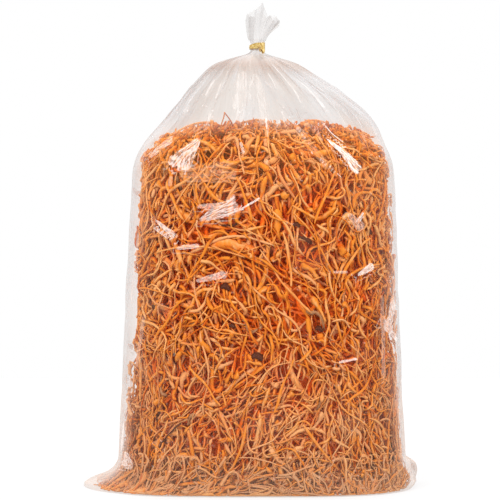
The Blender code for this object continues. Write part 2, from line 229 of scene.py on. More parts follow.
class ClubSettings(bpy.types.PropertyGroup):
    """The dried cordyceps clubs."""

    shortest: size_setting("Shortest", "Length of the shortest clubs", 0.030)
    longest: size_setting("Longest", "Length of the longest clubs", 0.068)
    stalk_radius: size_setting("Stalk radius", "Radius of a middling stalk", 0.00064)
    pile_depth: size_setting("Pile depth", "How deep under the outside the modelled clubs begin", 0.0125)
    side_tries: count_setting("Side tries", "Places tried for clubs on the sides", 17000)
    top_tries: count_setting("Top tries", "Places tried for clubs on top", 2400)
    pale: colour_setting("Pale", "Colour of the palest clubs", (0.72, 0.350, 0.125))
    orange: colour_setting("Orange", "Colour of most clubs", (0.675, 0.215, 0.021))
    rust: colour_setting("Rust", "Colour of the darkest clubs", (0.49, 0.078, 0.004))
    # also the near-black at the bottom of the heap's hollows, where it is painted shade
    spoilt: colour_setting("Spoilt", "Colour of the few spoilt clubs", (0.085, 0.024, 0.012))


class FilmSettings(bpy.types.PropertyGroup):
    """The clear film bag."""

    crumple: size_setting("Crumple", "Height of the film's larger facets", 0.0010)
    pleat: size_setting("Pleats", "Height of the pleats under the neck", 0.0022)
    tint: colour_setting("Tint", "What the film lets through", (0.965, 0.95, 0.94))
    gloss_roughness: share_setting("Gloss roughness", "Roughness of the film's surface", 0.07)
    haze: share_setting("Haze", "Share of light that the clearest film scatters", 0.002)


class TieSettings(bpy.types.PropertyGroup):
    """The gold twist tie."""

    width: size_setting("Width", "Width of the strip", 0.0040)
    gold: colour_setting("Gold", "Colour of the foil", (0.56, 0.32, 0.03))


class StageSettings(bpy.types.PropertyGroup):
    """The floor, lights and camera."""

    camera_distance: size_setting("Camera distance", "From the camera to the bag's middle", 1.10)
    camera_height: size_setting("Camera height", "Height of the level camera", 0.1615)
    view_width: size_setting("View width", "Width seen at the bag's middle", 0.345)
    fill: FloatProperty(name="Fill", description="Brightness of the light from all round", default=0.75)


# ---- Shader sockets ---------------------------------------------------------
def math_node(operation, turned=False):
    """A method that adds a Math node, on the wire and another value or in the turned order."""

    def method(self, other):
        values = (other, self) if turned else (self, other)
        return self.look.wire("Math", {"operation": operation}, dict(enumerate(values)))

    return method


class Wire:
    """A socket of numbers in a node tree. Sums, differences, products and powers of wires add Math nodes."""

    def __init__(self, look, socket):
        self.look, self.socket = look, socket

    __add__ = __radd__ = math_node("ADD")
    __mul__ = __rmul__ = math_node("MULTIPLY")
    __sub__, __rsub__ = math_node("SUBTRACT"), math_node("SUBTRACT", turned=True)
    __pow__ = math_node("POWER")

    def over(self, low, high):
        """0 where this is under low, and 1 over high."""
        sockets = {"Value": self, "From Min": low, "From Max": high}
        return self.look.wire("MapRange", {"interpolation_type": "SMOOTHSTEP"}, sockets)


class Look:
    """A node tree, of a material or of the world."""

    def __init__(self, owner):
        self.owner = owner
        owner.use_nodes = True
        self.tree = owner.node_tree
        self.tree.nodes.clear()

    def add(self, kind, settings=None, sockets=None):
        """The outputs of a new node, with its settings and then the values or links of its sockets."""
        node = self.tree.nodes.new("ShaderNode" + kind)
        for name, value in (settings or {}).items():
            if name == "stops":
                self._stops(node.color_ramp, value)
            else:
                setattr(node, name, value)
        for name, value in (sockets or {}).items():
            value = value.socket if isinstance(value, Wire) else value
            if isinstance(value, bpy.types.NodeSocket):
                self.tree.links.new(value, node.inputs[name])
            else:
                node.inputs[name].default_value = value
        return node.outputs

    @staticmethod
    def _stops(color_ramp, stops):
        while len(color_ramp.elements) < len(stops):
            color_ramp.elements.new(1.0)
        for element, (position, colour) in zip(color_ramp.elements, stops):
            element.position, element.color = position, (*colour, 1.0)

    def wire(self, kind, settings=None, sockets=None, output=0):
        return Wire(self, self.add(kind, settings, sockets)[output])

    def mapped(self, vector, scale, turn=(0, 0, 0)):
        return self.add("Mapping", None, {"Vector": vector, "Scale": scale, "Rotation": turn})[0]

    def place(self, scale=(1, 1, 1), turn=(0, 0, 0)):
        """The place on the object, in metres times scale."""
        return self.mapped(self.add("TexCoord")["Object"], scale, turn)

    def height(self):
        return self.wire("SeparateXYZ", None, {0: self.add("TexCoord")["Object"]}, "Z")

    def noise(self, scale, where=None, detail=3.0, roughness=0.5):
        sockets = {"Scale": scale, "Detail": detail, "Roughness": roughness}
        sockets["Vector"] = where if where is not None else self.place()
        return self.wire("TexNoise", None, sockets, "Fac")

    def stored(self, name, output="Fac"):
        """The socket of what the mesh stores under a name: numbers, or vectors from the output Vector."""
        return self.add("Attribute", {"attribute_name": name})[output]

    def blend(self, share, first, second):
        """Two colours mixed by a share of the second."""
        first, second = (c if isinstance(c, bpy.types.NodeSocket) else (*c, 1.0) for c in (first, second))
        return self.add("Mix", {"data_type": "RGBA"}, {0: share, 6: first, 7: second})[2]

    def bump(self, height, strength, distance):
        return self.add("Bump", None, {"Height": height, "Strength": strength, "Distance": distance})[0]

    def surface(self, sockets):
        return self.add("BsdfPrincipled", None, sockets)[0]

    def mix_shaders(self, share, first, second):
        return self.add("MixShader", None, {0: share, 1: first, 2: second})[0]

    def finish(self, surface):
        """Ends the tree with its surface, and returns the material or world."""
        kind = "OutputWorld" if isinstance(self.owner, bpy.types.World) else "OutputMaterial"
        self.add(kind, None, {"Surface": surface})
        return self.owner


# ---- Meshes -----------------------------------------------------------------
def deselect_all():
    for thing in bpy.context.selected_objects:
        thing.select_set(False)


def mesh_from_rings(name, rings, stored):
    """One mesh of many closed tubes. rings has tubes, rings, points and xyz, and stored has numbers for each
    point."""
    tubes, count, sides, _ = rings.shape
    mesh = bpy.data.meshes.new(name)
    start = np.arange(tubes * count).reshape(tubes, count) * sides
    i, following = np.arange(sides), (np.arange(sides) + 1) % sides
    low, high = start[:, :-1, None], start[:, 1:, None]
    walls = np.stack([low + i, low + following, high + following, high + i], axis=-1).reshape(-1, 4)
    caps = np.concatenate([start[:, :1] + i[::-1], start[:, -1:] + i])
    loops = np.concatenate([walls.ravel(), caps.ravel()])
    lengths = np.concatenate([np.full(len(walls), 4), np.full(len(caps), sides)])
    mesh.vertices.add(tubes * count * sides)
    mesh.vertices.foreach_set("co", rings.astype(np.float32).ravel())
    mesh.loops.add(len(loops))
    mesh.loops.foreach_set("vertex_index", loops.astype(np.int32))
    mesh.polygons.add(len(lengths))
    mesh.polygons.foreach_set("loop_start", (np.cumsum(lengths) - lengths).astype(np.int32))
    mesh.update(calc_edges=True)
    for label, values in stored.items():
        data = mesh.attributes.new(label, "FLOAT", "POINT").data
        data.foreach_set("value", values.astype(np.float32).ravel())
    mesh.shade_smooth()
    made = bpy.data.objects.new(name, mesh)
    bpy.context.scene.collection.objects.link(made)
    return made


def grid_piece(name, points, closed, **stored):
    """A piece bent from a flat grid. points has columns, rows and xyz, and closed merges the last column on
    the first. stored has vectors by column and row."""
    columns, rows, _ = points.shape
    deselect_all()
    bpy.ops.mesh.primitive_grid_add(x_subdivisions=columns - 1, y_subdivisions=rows - 1, size=1)
    made = bpy.context.object
    made.name = made.data.name = name
    made.data.vertices.foreach_set("co", points.transpose(1, 0, 2).astype(np.float32).ravel())
    for label, values in stored.items():
        data = made.data.attributes.new(label, "FLOAT_VECTOR", "POINT").data
        data.foreach_set("vector", values.transpose(1, 0, 2).astype(np.float32).ravel())
    if closed:
        bpy.ops.object.mode_set(mode="EDIT")
        bpy.ops.mesh.select_all(action="SELECT")
        bpy.ops.mesh.remove_doubles(threshold=1e-6)
        bpy.ops.mesh.normals_make_consistent(inside=False)
        bpy.ops.object.mode_set(mode="OBJECT")
    made.data.update()
    made.data.shade_smooth()
    return made


# ---- The clubs' shapes ------------------------------------------------------
PILE_SAMPLES = 25  # places along a club while it is laid
CLUB_POINTS, CLUB_SIDES = 13, 5  # rings of its mesh, and points in a ring
# One outer side of each club is painted lit, the other and the inner sides painted in shade
CLUB_FOLD_AND_SHADE = (0.5, 1.0, 0.0, 0.3, 0.3)  # how pale each side is: folded sides, and painted light and shade
SHORT_SHARE, SHORT_LENGTHS = 0.36, (0.25, 0.6)
RIM_DEPTH, RIM_SHRINK = 0.016, 0.58  # clubs so near the upper rim, and those on top, are shorter
SIDE_UPRIGHT = 0.74  # the share of the side clubs that stand with their neighbours
LEAN, BEND, WAVE = 0.30, 0.42, 0.38  # spreads in radians
WAVE_TURNS = (0.7, 1.9)
HOOK_SHARE, HOOK_TURNS, HOOK_START = 0.22, (0.8, 2.4), 0.62
KINK_SHARE, KINK, KINK_REACH, KINK_PLACES = 0.7, 0.55, 0.05, (0.15, 0.85)
SPOILT_SHARE, SPOILT_LENGTH = 0.005, 0.35
STALK_SPREAD = 0.33
STALK_LOW, STALK_GROWTH, STALK_HEIGHTS = 0.88, 0.27, (0.06, 0.19)  # clubs are slimmer low down on the sides
SWELLS, SWELL_STARTS, SWELL_ENDS = (0.15, 0.95), (0.2, 0.45), (0.6, 0.8)  # how much a stalk widens, and where
KNOB, KNOB_WAVES = 0.13, (2, 5)
FOOT, FOOT_GROWTH, FOOT_END = 0.55, 0.45, 0.05
TIP_START, ROUND_TIP, BLADE_TIP = 0.90, 0.72, 0.55  # where the tip begins, and how much narrower it ends
FLATNESS = (0.72, 1.0)
BLADE_SHARE, BLADE_LENGTH, BLADE_THICKNESS, BLADE_TONES = 0.12, 0.62, 0.68, (0.28, 0.62)  # broad, flat clubs
SPREADS, SPREAD_START, SPREAD_ENDS = (0.4, 1.15), 0.12, (0.5, 0.85)  # how much a blade widens, and where
BLADE_RIPPLE, RIPPLE_WAVES = 0.16, (1.5, 3.5)
EDGE_SLACK = 0.0015
DUSTY_SHARE, DUST_SHARES = 0.13, (0.2, 0.8)
LOW_DUSTY_SHARE, LOW_DUST_HEIGHTS = 0.36, (0.05, 0.13)
LIKENESS = 0.30  # how much neighbouring clubs turn together, in radians a wave
LIKENESS_WAVES, MOST_TURNS, MOST_RISES = 9, 7, 15


def likeness_waves():
    rng, count = np.random.default_rng(SEEDS["locks"]), LIKENESS_WAVES
    turns = rng.integers(-MOST_TURNS, MOST_TURNS + 1, count)
    return turns, rng.uniform(-MOST_RISES, MOST_RISES, count), rng.random(count)


LIKENESS_TURNS, LIKENESS_RISES, LIKENESS_PHASES = likeness_waves()


def shared_turn(u, v):
    """How far the clubs round a place all lean, in radians: they lie in locks."""
    waves = np.cos(FULL_TURN * (LIKENESS_TURNS * u / GIRTH + LIKENESS_RISES * v + LIKENESS_PHASES))
    return LIKENESS * float(waves.sum())


def slide_between(line, low, high, slack):
    """Slides one coordinate of a line so that it ends just inside the limit that it crosses."""
    if line.min() < low:
        return line + (low - line.min()) + slack
    if line.max() > high:
        return line - (line.max() - high) - slack
    return line


def ripples(rng, waves, t):
    return np.sin(FULL_TURN * (rng.uniform(*waves) * t + rng.random()))


def random_club(rng, settings, place, upright):
    """One club's line in the unrolled place, with its half width and half thickness along it."""
    t = np.linspace(0, 1, PILE_SAMPLES)
    u_middle, v_middle = (rng.uniform(low, high) for low, high in zip(place.low, place.high))
    length = rng.uniform(settings.shortest, settings.longest)
    if rng.random() < SHORT_SHARE:
        length *= rng.uniform(*SHORT_LENGTHS)
    if place is Top or v_middle > place.high[1] - RIM_DEPTH:
        length *= RIM_SHRINK
    if rng.random() < upright:
        heading = math.pi / 2 + shared_turn(u_middle, v_middle) + rng.normal(0, LEAN)
    else:
        heading = rng.uniform(0, math.pi)
    heading += math.pi * (rng.random() < 0.5)
    bend, wave = rng.normal(0, BEND), rng.normal(0, WAVE)
    turns, phase = rng.uniform(*WAVE_TURNS), rng.uniform(0, 1)
    heading = heading + bend * (2 * t - 1) + wave * np.sin(FULL_TURN * (turns * t + phase))
    if rng.random() < HOOK_SHARE:
        heading = heading + rng.choice((-1, 1)) * rng.uniform(*HOOK_TURNS) * ramp(HOOK_START, 1.0, t)
    if rng.random() < KINK_SHARE:
        bent = rng.uniform(*KINK_PLACES)
        heading = heading + rng.normal(0, KINK) * ramp(bent - KINK_REACH, bent + KINK_REACH, t)
    blade = rng.random() < BLADE_SHARE
    tone = rng.uniform(*BLADE_TONES) if blade else rng.random()
    if tone < SPOILT_SHARE:
        length *= SPOILT_LENGTH
    stalk = settings.stalk_radius * math.exp(rng.normal(0, STALK_SPREAD))
    if place is Side:
        stalk *= STALK_LOW + STALK_GROWTH * ramp(*STALK_HEIGHTS, v_middle)
    swell = 1 + rng.uniform(*SWELLS) * ramp(rng.uniform(*SWELL_STARTS), rng.uniform(*SWELL_ENDS), t)
    knobs = 1 + KNOB * ripples(rng, KNOB_WAVES, t)
    foot = FOOT + FOOT_GROWTH * ramp(0.0, FOOT_END, t)
    tip = 1 - (BLADE_TIP if blade else ROUND_TIP) * ramp(TIP_START, 1.0, t) ** 1.5
    radius = stalk * swell * knobs * foot * tip
    if blade:
        length *= BLADE_LENGTH
        spread = 1 + rng.uniform(*SPREADS) * ramp(SPREAD_START, rng.uniform(*SPREAD_ENDS), t)
        spread = spread * (1 + BLADE_RIPPLE * ripples(rng, RIPPLE_WAVES, t))
        wide, thick = radius * spread, radius * BLADE_THICKNESS
    else:
        flat = rng.uniform(*FLATNESS)
        wide, thick = radius / math.sqrt(flat), radius * math.sqrt(flat)
    step = length / (PILE_SAMPLES - 1)
    u, v = np.cumsum(np.cos(heading)) * step, np.cumsum(np.sin(heading)) * step
    u, v = u - u.mean() + u_middle, v - v.mean() + v_middle
    slack = rng.exponential(EDGE_SLACK)
    low_dust = LOW_DUSTY_SHARE * (1 - ramp(*LOW_DUST_HEIGHTS, v_middle)) if place is Side else 0.0
    dust = rng.uniform(*DUST_SHARES) if rng.random() < DUSTY_SHARE + low_dust else 0.0
    if not place.wraps:
        u = slide_between(u, place.low[0], place.high[0], slack)
    v = slide_between(v, place.low[1], place.high[1], slack)
    return dict(u=u, v=v, heading=heading, wide=wide, thick=thick, tone=tone, along=t, dust=dust)


def centred(club, scale):
    """A club's line, made shorter and moved to the middle."""
    return ((club[key] - club[key].mean()) * scale for key in "uv")


def resized(club, scale, **changes):
    """A slimmer copy of a club, with other changes."""
    return {**club, "wide": club["wide"] * scale, "thick": club["thick"] * scale, **changes}


# ---- Where the clubs lie ----------------------------------------------------
SIDE_LUMPS = (-0.0014, 0.0030)  # how far the heap's side falls back and bulges out from its even outline
TOP_LUMPS = (-0.0016, 0.0008)
FILM_CLEARANCE = 0.0014  # and no club comes nearer to the film's outline than this
FLOOR_CLEARANCE = 0.4  # the share of it that is left at the floor
SIDE_CLUB_LIMIT, TOP_CLUB_LIMIT = -0.0033, -0.0008  # the limit under clubs with solids of their own
PRESSED_UNDER, PRESSED_TO = 0.012, 0.035  # under the first height the contents press against the film
SIDE_LOW, SIDE_HIGH = 0.0009, 0.2440
SIDE_STEP, TOP_STEP = 0.0006, 0.0015  # steps over which the outside's slope is measured
TOP_EDGE = 0.2385  # the clubs on top end where the heap's upper side has fallen to this height
TOP_SEARCH_FROM, TOP_SEARCH_ROUNDS, STEEPEST = 0.205, 22, 1.4
TOP_ROOM = 0.008
HEM_GIRTH_RADIUS = 0.095  # of a circle that is about as long as the base's outline
TOP_LOW, TOP_HIGH = (-0.0660, -0.0470), (0.0860, 0.0470)
LEVEL_BELOW = 0.02  # under this height clubs are set into the heap more and more level
FLOOR_GAP = 0.0004  # and no club comes nearer to the floor than this


class Side:
    """The outside of the contents all round, unrolled: u runs round it from the right, and v up it."""

    low, high, wraps = (0.0, float(climb_at(SIDE_LOW))), (GIRTH, float(climb_at(SIDE_HIGH))), True
    outer_club_limit = SIDE_CLUB_LIMIT

    @staticmethod
    def place(u, v):
        return section_points(CONTENTS_SECTIONS, np.interp(v, PROFILE_LENGTHS, PROFILE_HEIGHTS), angle_at(u))

    @classmethod
    def room(cls, u, v):
        """How far clubs may stand off the contents' outline before they come too near to the film."""
        here, out = cls.points(u, v)
        film = section_points(FILM_SECTIONS, here[..., 2], angle_at(u))
        share = FLOOR_CLEARANCE + (1 - FLOOR_CLEARANCE) * ramp(0.0, 0.02, here[..., 2])
        return np.sum((film - here) * out, axis=-1) - FILM_CLEARANCE * share

    @staticmethod
    def pressed(v):
        """1 at the bottom, where the contents' weight presses them against the film."""
        return 1 - ramp(PRESSED_UNDER, PRESSED_TO, v)

    @classmethod
    def points(cls, u, v):
        along = cls.place(u + SIDE_STEP, v) - cls.place(u - SIDE_STEP, v)
        up = cls.place(u, v + SIDE_STEP) - cls.place(u, v - SIDE_STEP)
        here, out = cls.place(u, v), unit(np.cross(along, up))
        out[..., 2] *= ramp(0.0, LEVEL_BELOW, here[..., 2])
        return here, unit(out)

    @staticmethod
    def find(points):
        """u and v of points near this outside."""
        left, right, depth, squareness = smooth_rows(CONTENTS_SECTIONS, points[:, 2])
        x = (points[:, 0] - (left + right) / 2) / ((right - left) / 2)
        y = points[:, 1] / depth
        angles = np.arctan2(signed_power(y, squareness / 2), signed_power(x, squareness / 2))
        return length_at(angles), climb_at(points[:, 2])


class Top:
    """The upper side of the heap, seen from above: u is x and v is y."""

    low, high, wraps = TOP_LOW, TOP_HIGH, False
    outer_club_limit = TOP_CLUB_LIMIT

    @staticmethod
    def room(x, y):
        return np.full(x.shape, TOP_ROOM)

    @staticmethod
    def pressed(y):
        return np.zeros(y.shape)

    @staticmethod
    def heights(x, y):
        """The heights of the upper side, found by halving."""
        low, high = np.full(x.shape, TOP_SEARCH_FROM), np.full(x.shape, CONTENTS_SECTIONS[-1][0] + 0.0001)
        for _ in range(TOP_SEARCH_ROUNDS):
            z = (low + high) / 2
            left, right, depth, squareness = smooth_rows(CONTENTS_SECTIONS, z)
            across = np.abs((2 * x - left - right) / (right - left)) ** squareness
            inside = across + np.abs(y / depth) ** squareness < 1
            low, high = np.where(inside, z, low), np.where(inside, high, z)
        return low

    @classmethod
    def points(cls, u, v):
        z = cls.heights(u, v)
        slope_x = (cls.heights(u + TOP_STEP, v) - cls.heights(u - TOP_STEP, v)) / (2 * TOP_STEP)
        slope_y = (cls.heights(u, v + TOP_STEP) - cls.heights(u, v - TOP_STEP)) / (2 * TOP_STEP)
        back = [-np.clip(slope, -STEEPEST, STEEPEST) for slope in (slope_x, slope_y)]
        return np.stack([u, v, z], axis=-1), unit(np.stack([*back, np.ones_like(z)], axis=-1))

    @staticmethod
    def find(points):
        return points[:, 0], points[:, 1]


class Hem:
    """The room between the contents and the film along part of the base: u runs round it, v is the height,
    and a lift of 1 is at the film."""

    def __init__(self, middle):
        self.middle = middle

    def points(self, u, v):
        angles = self.middle + u / HEM_GIRTH_RADIUS
        here, film = (section_points(rows, v, angles) for rows in (CONTENTS_SECTIONS, FILM_SECTIONS))
        film[..., 0] += ear_reach(v, angles)
        return here, film - here


# ---- Laying the clubs on a pile ---------------------------------------------
PILE_CELL = 0.0008
PILE_ROUGHNESS = 0.002
LUMP_WAVES, LUMP_TURNS, LUMP_RISE = 14, 16, 45
LUMP_SPREAD = 3.2
SETTLE_ROUNDS = 14
CLUB_FIT = (-0.85, 0.0, 0.85)  # shares of the half width at which a club rests on the pile
CLUB_CREST = (-1.0, -0.5, 0.0, 0.5, 1.0)
SINK = 0.7  # how far a club may be pressed into the pile, as a share of its half thickness
# Hollows in the heap with a near-black spoilt club in each, as painted shade: middle x and height, and radius
HOLLOWS = (
    (0.0048, 0.0918, 0.0032), (0.0462, 0.1097, 0.0024), (-0.0669, 0.1235, 0.0026), (-0.0166, 0.1373, 0.0028),
    (0.0828, 0.1739, 0.0024), (0.0310, 0.1780, 0.0020), (-0.0117, 0.1118, 0.0020),
)
HOLLOW_DEPTH = 0.0040
HOLLOW_CLUB_REACH, HOLLOW_CLUB_WIDTH, HOLLOW_CLUB_THICKNESS = 2.2, 0.75, 0.30  # of its club, as shares of its radius


def softened(values):
    padded = np.concatenate([values[:1], values, values[-1:]])
    return (padded[:-2] + 2 * padded[1:-1] + padded[2:]) / 4


class Pile:
    """Clubs laid one by one on a growing pile. Its maps hold, for each small cell, how high the pile stands
    and how high it may."""

    def __init__(self, place, depth, rng, lumps):
        self.place, self.rng = place, rng
        self.cells = np.ceil((np.array(place.high) - np.array(place.low)) / PILE_CELL).astype(int)
        self.height = np.full(self.cells, -depth) + rng.uniform(0, PILE_ROUGHNESS, self.cells)
        self.limit = self.lumpy_limit(*lumps)
        self.kept = []

    def cell(self, u, v):
        i = np.floor((u - self.place.low[0]) / PILE_CELL).astype(int)
        j = np.floor((v - self.place.low[1]) / PILE_CELL).astype(int)
        i = np.mod(i, self.cells[0]) if self.place.wraps else np.clip(i, 0, self.cells[0] - 1)
        return i, np.clip(j, 0, self.cells[1] - 1)

    def cell_places(self):
        i, j = np.meshgrid(*(np.arange(n) for n in self.cells), indexing="ij")
        return tuple(low + (k + 0.5) * PILE_CELL for low, k in zip(self.place.low, (i, j)))

    def lumpy_limit(self, lowest, highest):
        """Lets the heap's outside fall back and bulge out, but not into the film."""
        u, v = self.cell_places()
        lumps = np.zeros(u.shape)
        for _ in range(LUMP_WAVES):
            turns = self.rng.integers(-LUMP_TURNS, LUMP_TURNS + 1)
            rises = self.rng.uniform(-LUMP_RISE, LUMP_RISE)
            lumps += np.cos(FULL_TURN * (turns * u / GIRTH + rises * v + self.rng.random()))
        share = np.maximum(ramp(-LUMP_SPREAD, LUMP_SPREAD, lumps), self.place.pressed(v))
        return np.minimum(lowest + (highest - lowest) * share, self.place.room(u, v))

    def keep_clear(self, points):
        """Holds the pile down under the points of a club that is there already."""
        u, v = self.place.find(points)
        for du in (-PILE_CELL, 0, PILE_CELL):
            for dv in (-PILE_CELL, 0, PILE_CELL):
                self.limit[self.cell(u + du, v + dv)] = self.place.outer_club_limit

    def hollow_out(self, x, height, radius):
        """Holds the pile down round a place on the front, and lays a short spoilt club there: painted shade."""
        u, v = front_place(CONTENTS_SECTIONS, x, height), float(climb_at(height))
        cell_u, cell_v = self.cell_places()
        away = np.hypot(cell_u - u, cell_v - v)
        self.limit = np.where(away < radius, np.minimum(self.limit, -HOLLOW_DEPTH), self.limit)
        t = np.linspace(0, 1, PILE_SAMPLES)
        swell = np.sin(math.pi * (0.06 + 0.88 * t)) ** 0.6
        u, v = u + radius * HOLLOW_CLUB_REACH * (t - 0.5), v + radius * (0.5 * np.sin(4 * t) - 0.3)
        wide, thick = radius * HOLLOW_CLUB_WIDTH * swell, radius * HOLLOW_CLUB_THICKNESS * swell
        lift = -HOLLOW_DEPTH + 0 * t
        self.kept.append(dict(u=u, v=v, lift=lift, wide=wide, thick=thick, tone=0.0, along=t, dust=0.0))

    def close_off(self):
        """Keeps clubs off the corners, where the upper side falls away."""
        self.limit[self.place.heights(*self.cell_places()) < TOP_EDGE] = -1.0

    def try_club(self, club):
        """Lays a club over the pile, unless it would stand out of the contents."""
        wide, thick = club["wide"], club["thick"]
        reach_u, reach_v = -np.sin(club["heading"]) * wide, np.cos(club["heading"]) * wide
        under, room = [], []
        for share in CLUB_FIT:
            cell = self.cell(club["u"] + reach_u * share, club["v"] + reach_v * share)
            under.append(self.height[cell])
            room.append(self.limit[cell])
        rest, lid = np.max(under, axis=0) + thick, np.min(room, axis=0) - thick
        if np.any(rest > lid):
            return
        middle, cover = rest.copy(), lid.copy()
        for _ in range(SETTLE_ROUNDS):
            middle = np.maximum(rest, softened(middle))
            cover = np.minimum(lid, softened(cover))
        middle = np.minimum(middle, cover)
        if np.any(middle < rest - thick * SINK):
            return
        for share in CLUB_CREST:
            cell = self.cell(club["u"] + reach_u * share, club["v"] + reach_v * share)
            np.maximum.at(self.height, cell, middle + thick * math.sqrt(1 - 0.9 * share * share))
        club["lift"] = middle
        self.kept.append(club)


# ---- Single clubs outside the piles -----------------------------------------
# Broken clubs between the heap and the film: the angle of their middle, how far round they reach, their
# lowest and highest place, how many they are, how slim, how dusty, and how much of their height they keep
HEMS = {
    "ear_clubs_left": (math.pi, 0.045, (0.0010, 0.0190), 260, 0.50, 0.45, 0.6),
    "ear_clubs_right": (0.0, 0.045, (0.0010, 0.0200), 240, 0.50, 0.80, 0.6),
    "hem_clubs_front": (-math.pi / 2, 0.122, (0.0005, 0.0260), 400, 0.66, 0.60, 1.0),
    "hem_clubs_back": (math.pi / 2, 0.122, (0.0005, 0.0260), 400, 0.66, 0.60, 1.0),
    "stray_clubs_left": (math.pi, 0.030, (0.0160, 0.0850), 170, 0.55, 0.90, 1.0),
    "stray_clubs_right": (0.0, 0.028, (0.0200, 0.2000), 270, 0.60, 0.50, 1.0),
}
HEM_REACH = 0.74  # how far towards the film the broken clubs lie
HEM_UPRIGHT, HEM_CROWDING = 0.1, 2.2  # a crowding of 1 spreads them evenly over their heights
HEM_LENGTHS, HEM_WIDTHS, HEM_DUST = (0.15, 0.6), (0.75, 1.25), (0.1, 1.4)
TUFTS = ((150, 0.036), (300, -0.024))  # how many stand up from the top, and how far back they are
TUFT_X, TUFT_FRONT = (-0.064, 0.082), -0.037
TUFT_LENGTHS, TUFT_WIDTH, TUFT_FOOT, TUFT_RISES = (0.12, 0.30), 0.75, -0.0024, (0.0015, 0.0063)
LOOP_PLACE, LOOP_SPAN, LOOP_DEPTH, LOOP_HEIGHT = (-0.0160, -0.0290), 0.0085, 0.0050, 0.0117
LOOP_WIDTH, LOOP_THICKNESS, LOOP_TONE = 0.00052, 0.00045, 0.03


def hem_club(rng, settings, reach, heights, slim, dust, steepness):
    """A short broken club between the heap and the film. Most lie low."""
    club = random_club(rng, settings, Side, HEM_UPRIGHT)
    u, v = centred(club, rng.uniform(*HEM_LENGTHS))
    u = slide_between(u + rng.uniform(-reach, reach), -reach, reach, 0.0)
    low, high = heights
    v = np.clip(v * steepness + low + (high - low) * rng.random() ** HEM_CROWDING, low, high)
    inner, outer = rng.uniform(0.02, HEM_REACH, 2)
    slim *= rng.uniform(*HEM_WIDTHS)
    lift, tone = inner + (outer - inner) * club["along"], 0.15 + 0.85 * club["tone"]
    return resized(club, slim, u=u, v=v, lift=lift, tone=tone, dust=dust * rng.uniform(*HEM_DUST))


def tuft(rng, settings, far_back):
    """A short club whose end stands up off the heap's upper side, no further back than a depth."""
    club = random_club(rng, settings, Top, 0.0)
    u, v = centred(club, rng.uniform(*TUFT_LENGTHS))
    u, v = u + rng.uniform(*TUFT_X), v + rng.uniform(TUFT_FRONT, far_back)
    lift = TUFT_FOOT + rng.uniform(*TUFT_RISES) * club["along"] ** 1.4
    return resized(club, TUFT_WIDTH, u=u, v=v, lift=lift, tone=club["tone"] * 0.6)


def standing_loop(rng, settings):
    """The one dark club that arches up from the heap at the left."""
    club = random_club(rng, settings, Top, 0.0)
    t = club["along"]
    u = LOOP_PLACE[0] + LOOP_SPAN * (t - 0.5) + 0.0012 * np.sin(7 * t)
    v = LOOP_PLACE[1] + LOOP_DEPTH * (t - 0.5)
    lift = TUFT_FOOT + LOOP_HEIGHT * np.sin(math.pi * t) ** 0.7
    wide, thick = LOOP_WIDTH + 0 * t, LOOP_THICKNESS + 0 * t
    return {**club, "u": u, "v": v, "lift": lift, "wide": wide, "thick": thick, "tone": LOOP_TONE}


def tubes_of(place, clubs):
    """The rings of all the clubs, and the numbers stored on them."""
    pick = np.arange(0, PILE_SAMPLES, (PILE_SAMPLES - 1) // (CLUB_POINTS - 1))
    lines = ("u", "v", "wide", "thick", "lift", "along")
    u, v, wide, thick, lift, t = (np.array([club[key][pick] for club in clubs]) for key in lines)
    here, out = place.points(u, v)
    middle = here + out * lift[..., None]
    middle[..., 2] = np.maximum(middle[..., 2], wide + FLOOR_GAP)
    ahead = unit(np.gradient(middle, axis=1))
    side = unit(np.cross(out, ahead))
    up = np.cross(ahead, side)
    angles = FULL_TURN * np.arange(CLUB_SIDES) / CLUB_SIDES
    across = np.cos(angles)[:, None] * wide[..., None, None] * side[:, :, None]
    over = np.sin(angles)[:, None] * thick[..., None, None] * up[:, :, None]
    tone, dust = (np.broadcast_to([[club[key]] for club in clubs], t.shape) for key in ("tone", "dust"))
    stored = dict(tone=tone, dust=dust, along=t, depth=-lift)
    stored = {key: np.repeat(values[..., None], CLUB_SIDES, axis=2) for key, values in stored.items()}
    stored["fold"] = np.broadcast_to(CLUB_FOLD_AND_SHADE, stored["along"].shape)
    return middle[:, :, None] + across + over, stored


# ---- The clubs' looks and pieces --------------------------------------------
# Painted shade deep in the heap: between two depths, clubs take more and more of a deep red, up to a share
DEEP_SHADE_COLOUR, DEEP_SHADE_SHARE, DEEP_FROM, DEEP_TO = (1.0, 0.112, 0.003), 0.66, 0.0028, 0.0105
# Dusty clubs' colour, and a darker one near the floor that is painted shade, with the heights where it fades
DUST_COLOUR, FLOOR_SHADED_DUST_COLOUR, FLOOR_SHADE_HEIGHTS = (0.69, 0.350, 0.160), (0.50, 0.277, 0.160), (0.012, 0.035)
# The buried clubs' deep reds, which stand in for their shade, and their browner colour low down
SHADED_STRING_COLOURS, LOW_STRING_COLOUR = ((0.58, 0.072, 0.004), (0.84, 0.170, 0.011)), (0.47, 0.17, 0.055)
OUTER_CLUB_TONES = (0.25, 0.45, 0.62, 0.8)
BURIED_COLUMNS, BURIED_ROWS = 97, 60
BURIED_LAP = 0.0012  # how far the buried clubs reach out into the modelled ones
BURIED_BOTTOM = 0.0010
BURIED_SKIRT = 0.0022  # how far inside the contents' outline their lowest ring ends
QUARTERS = ("right", "back", "left", "front")


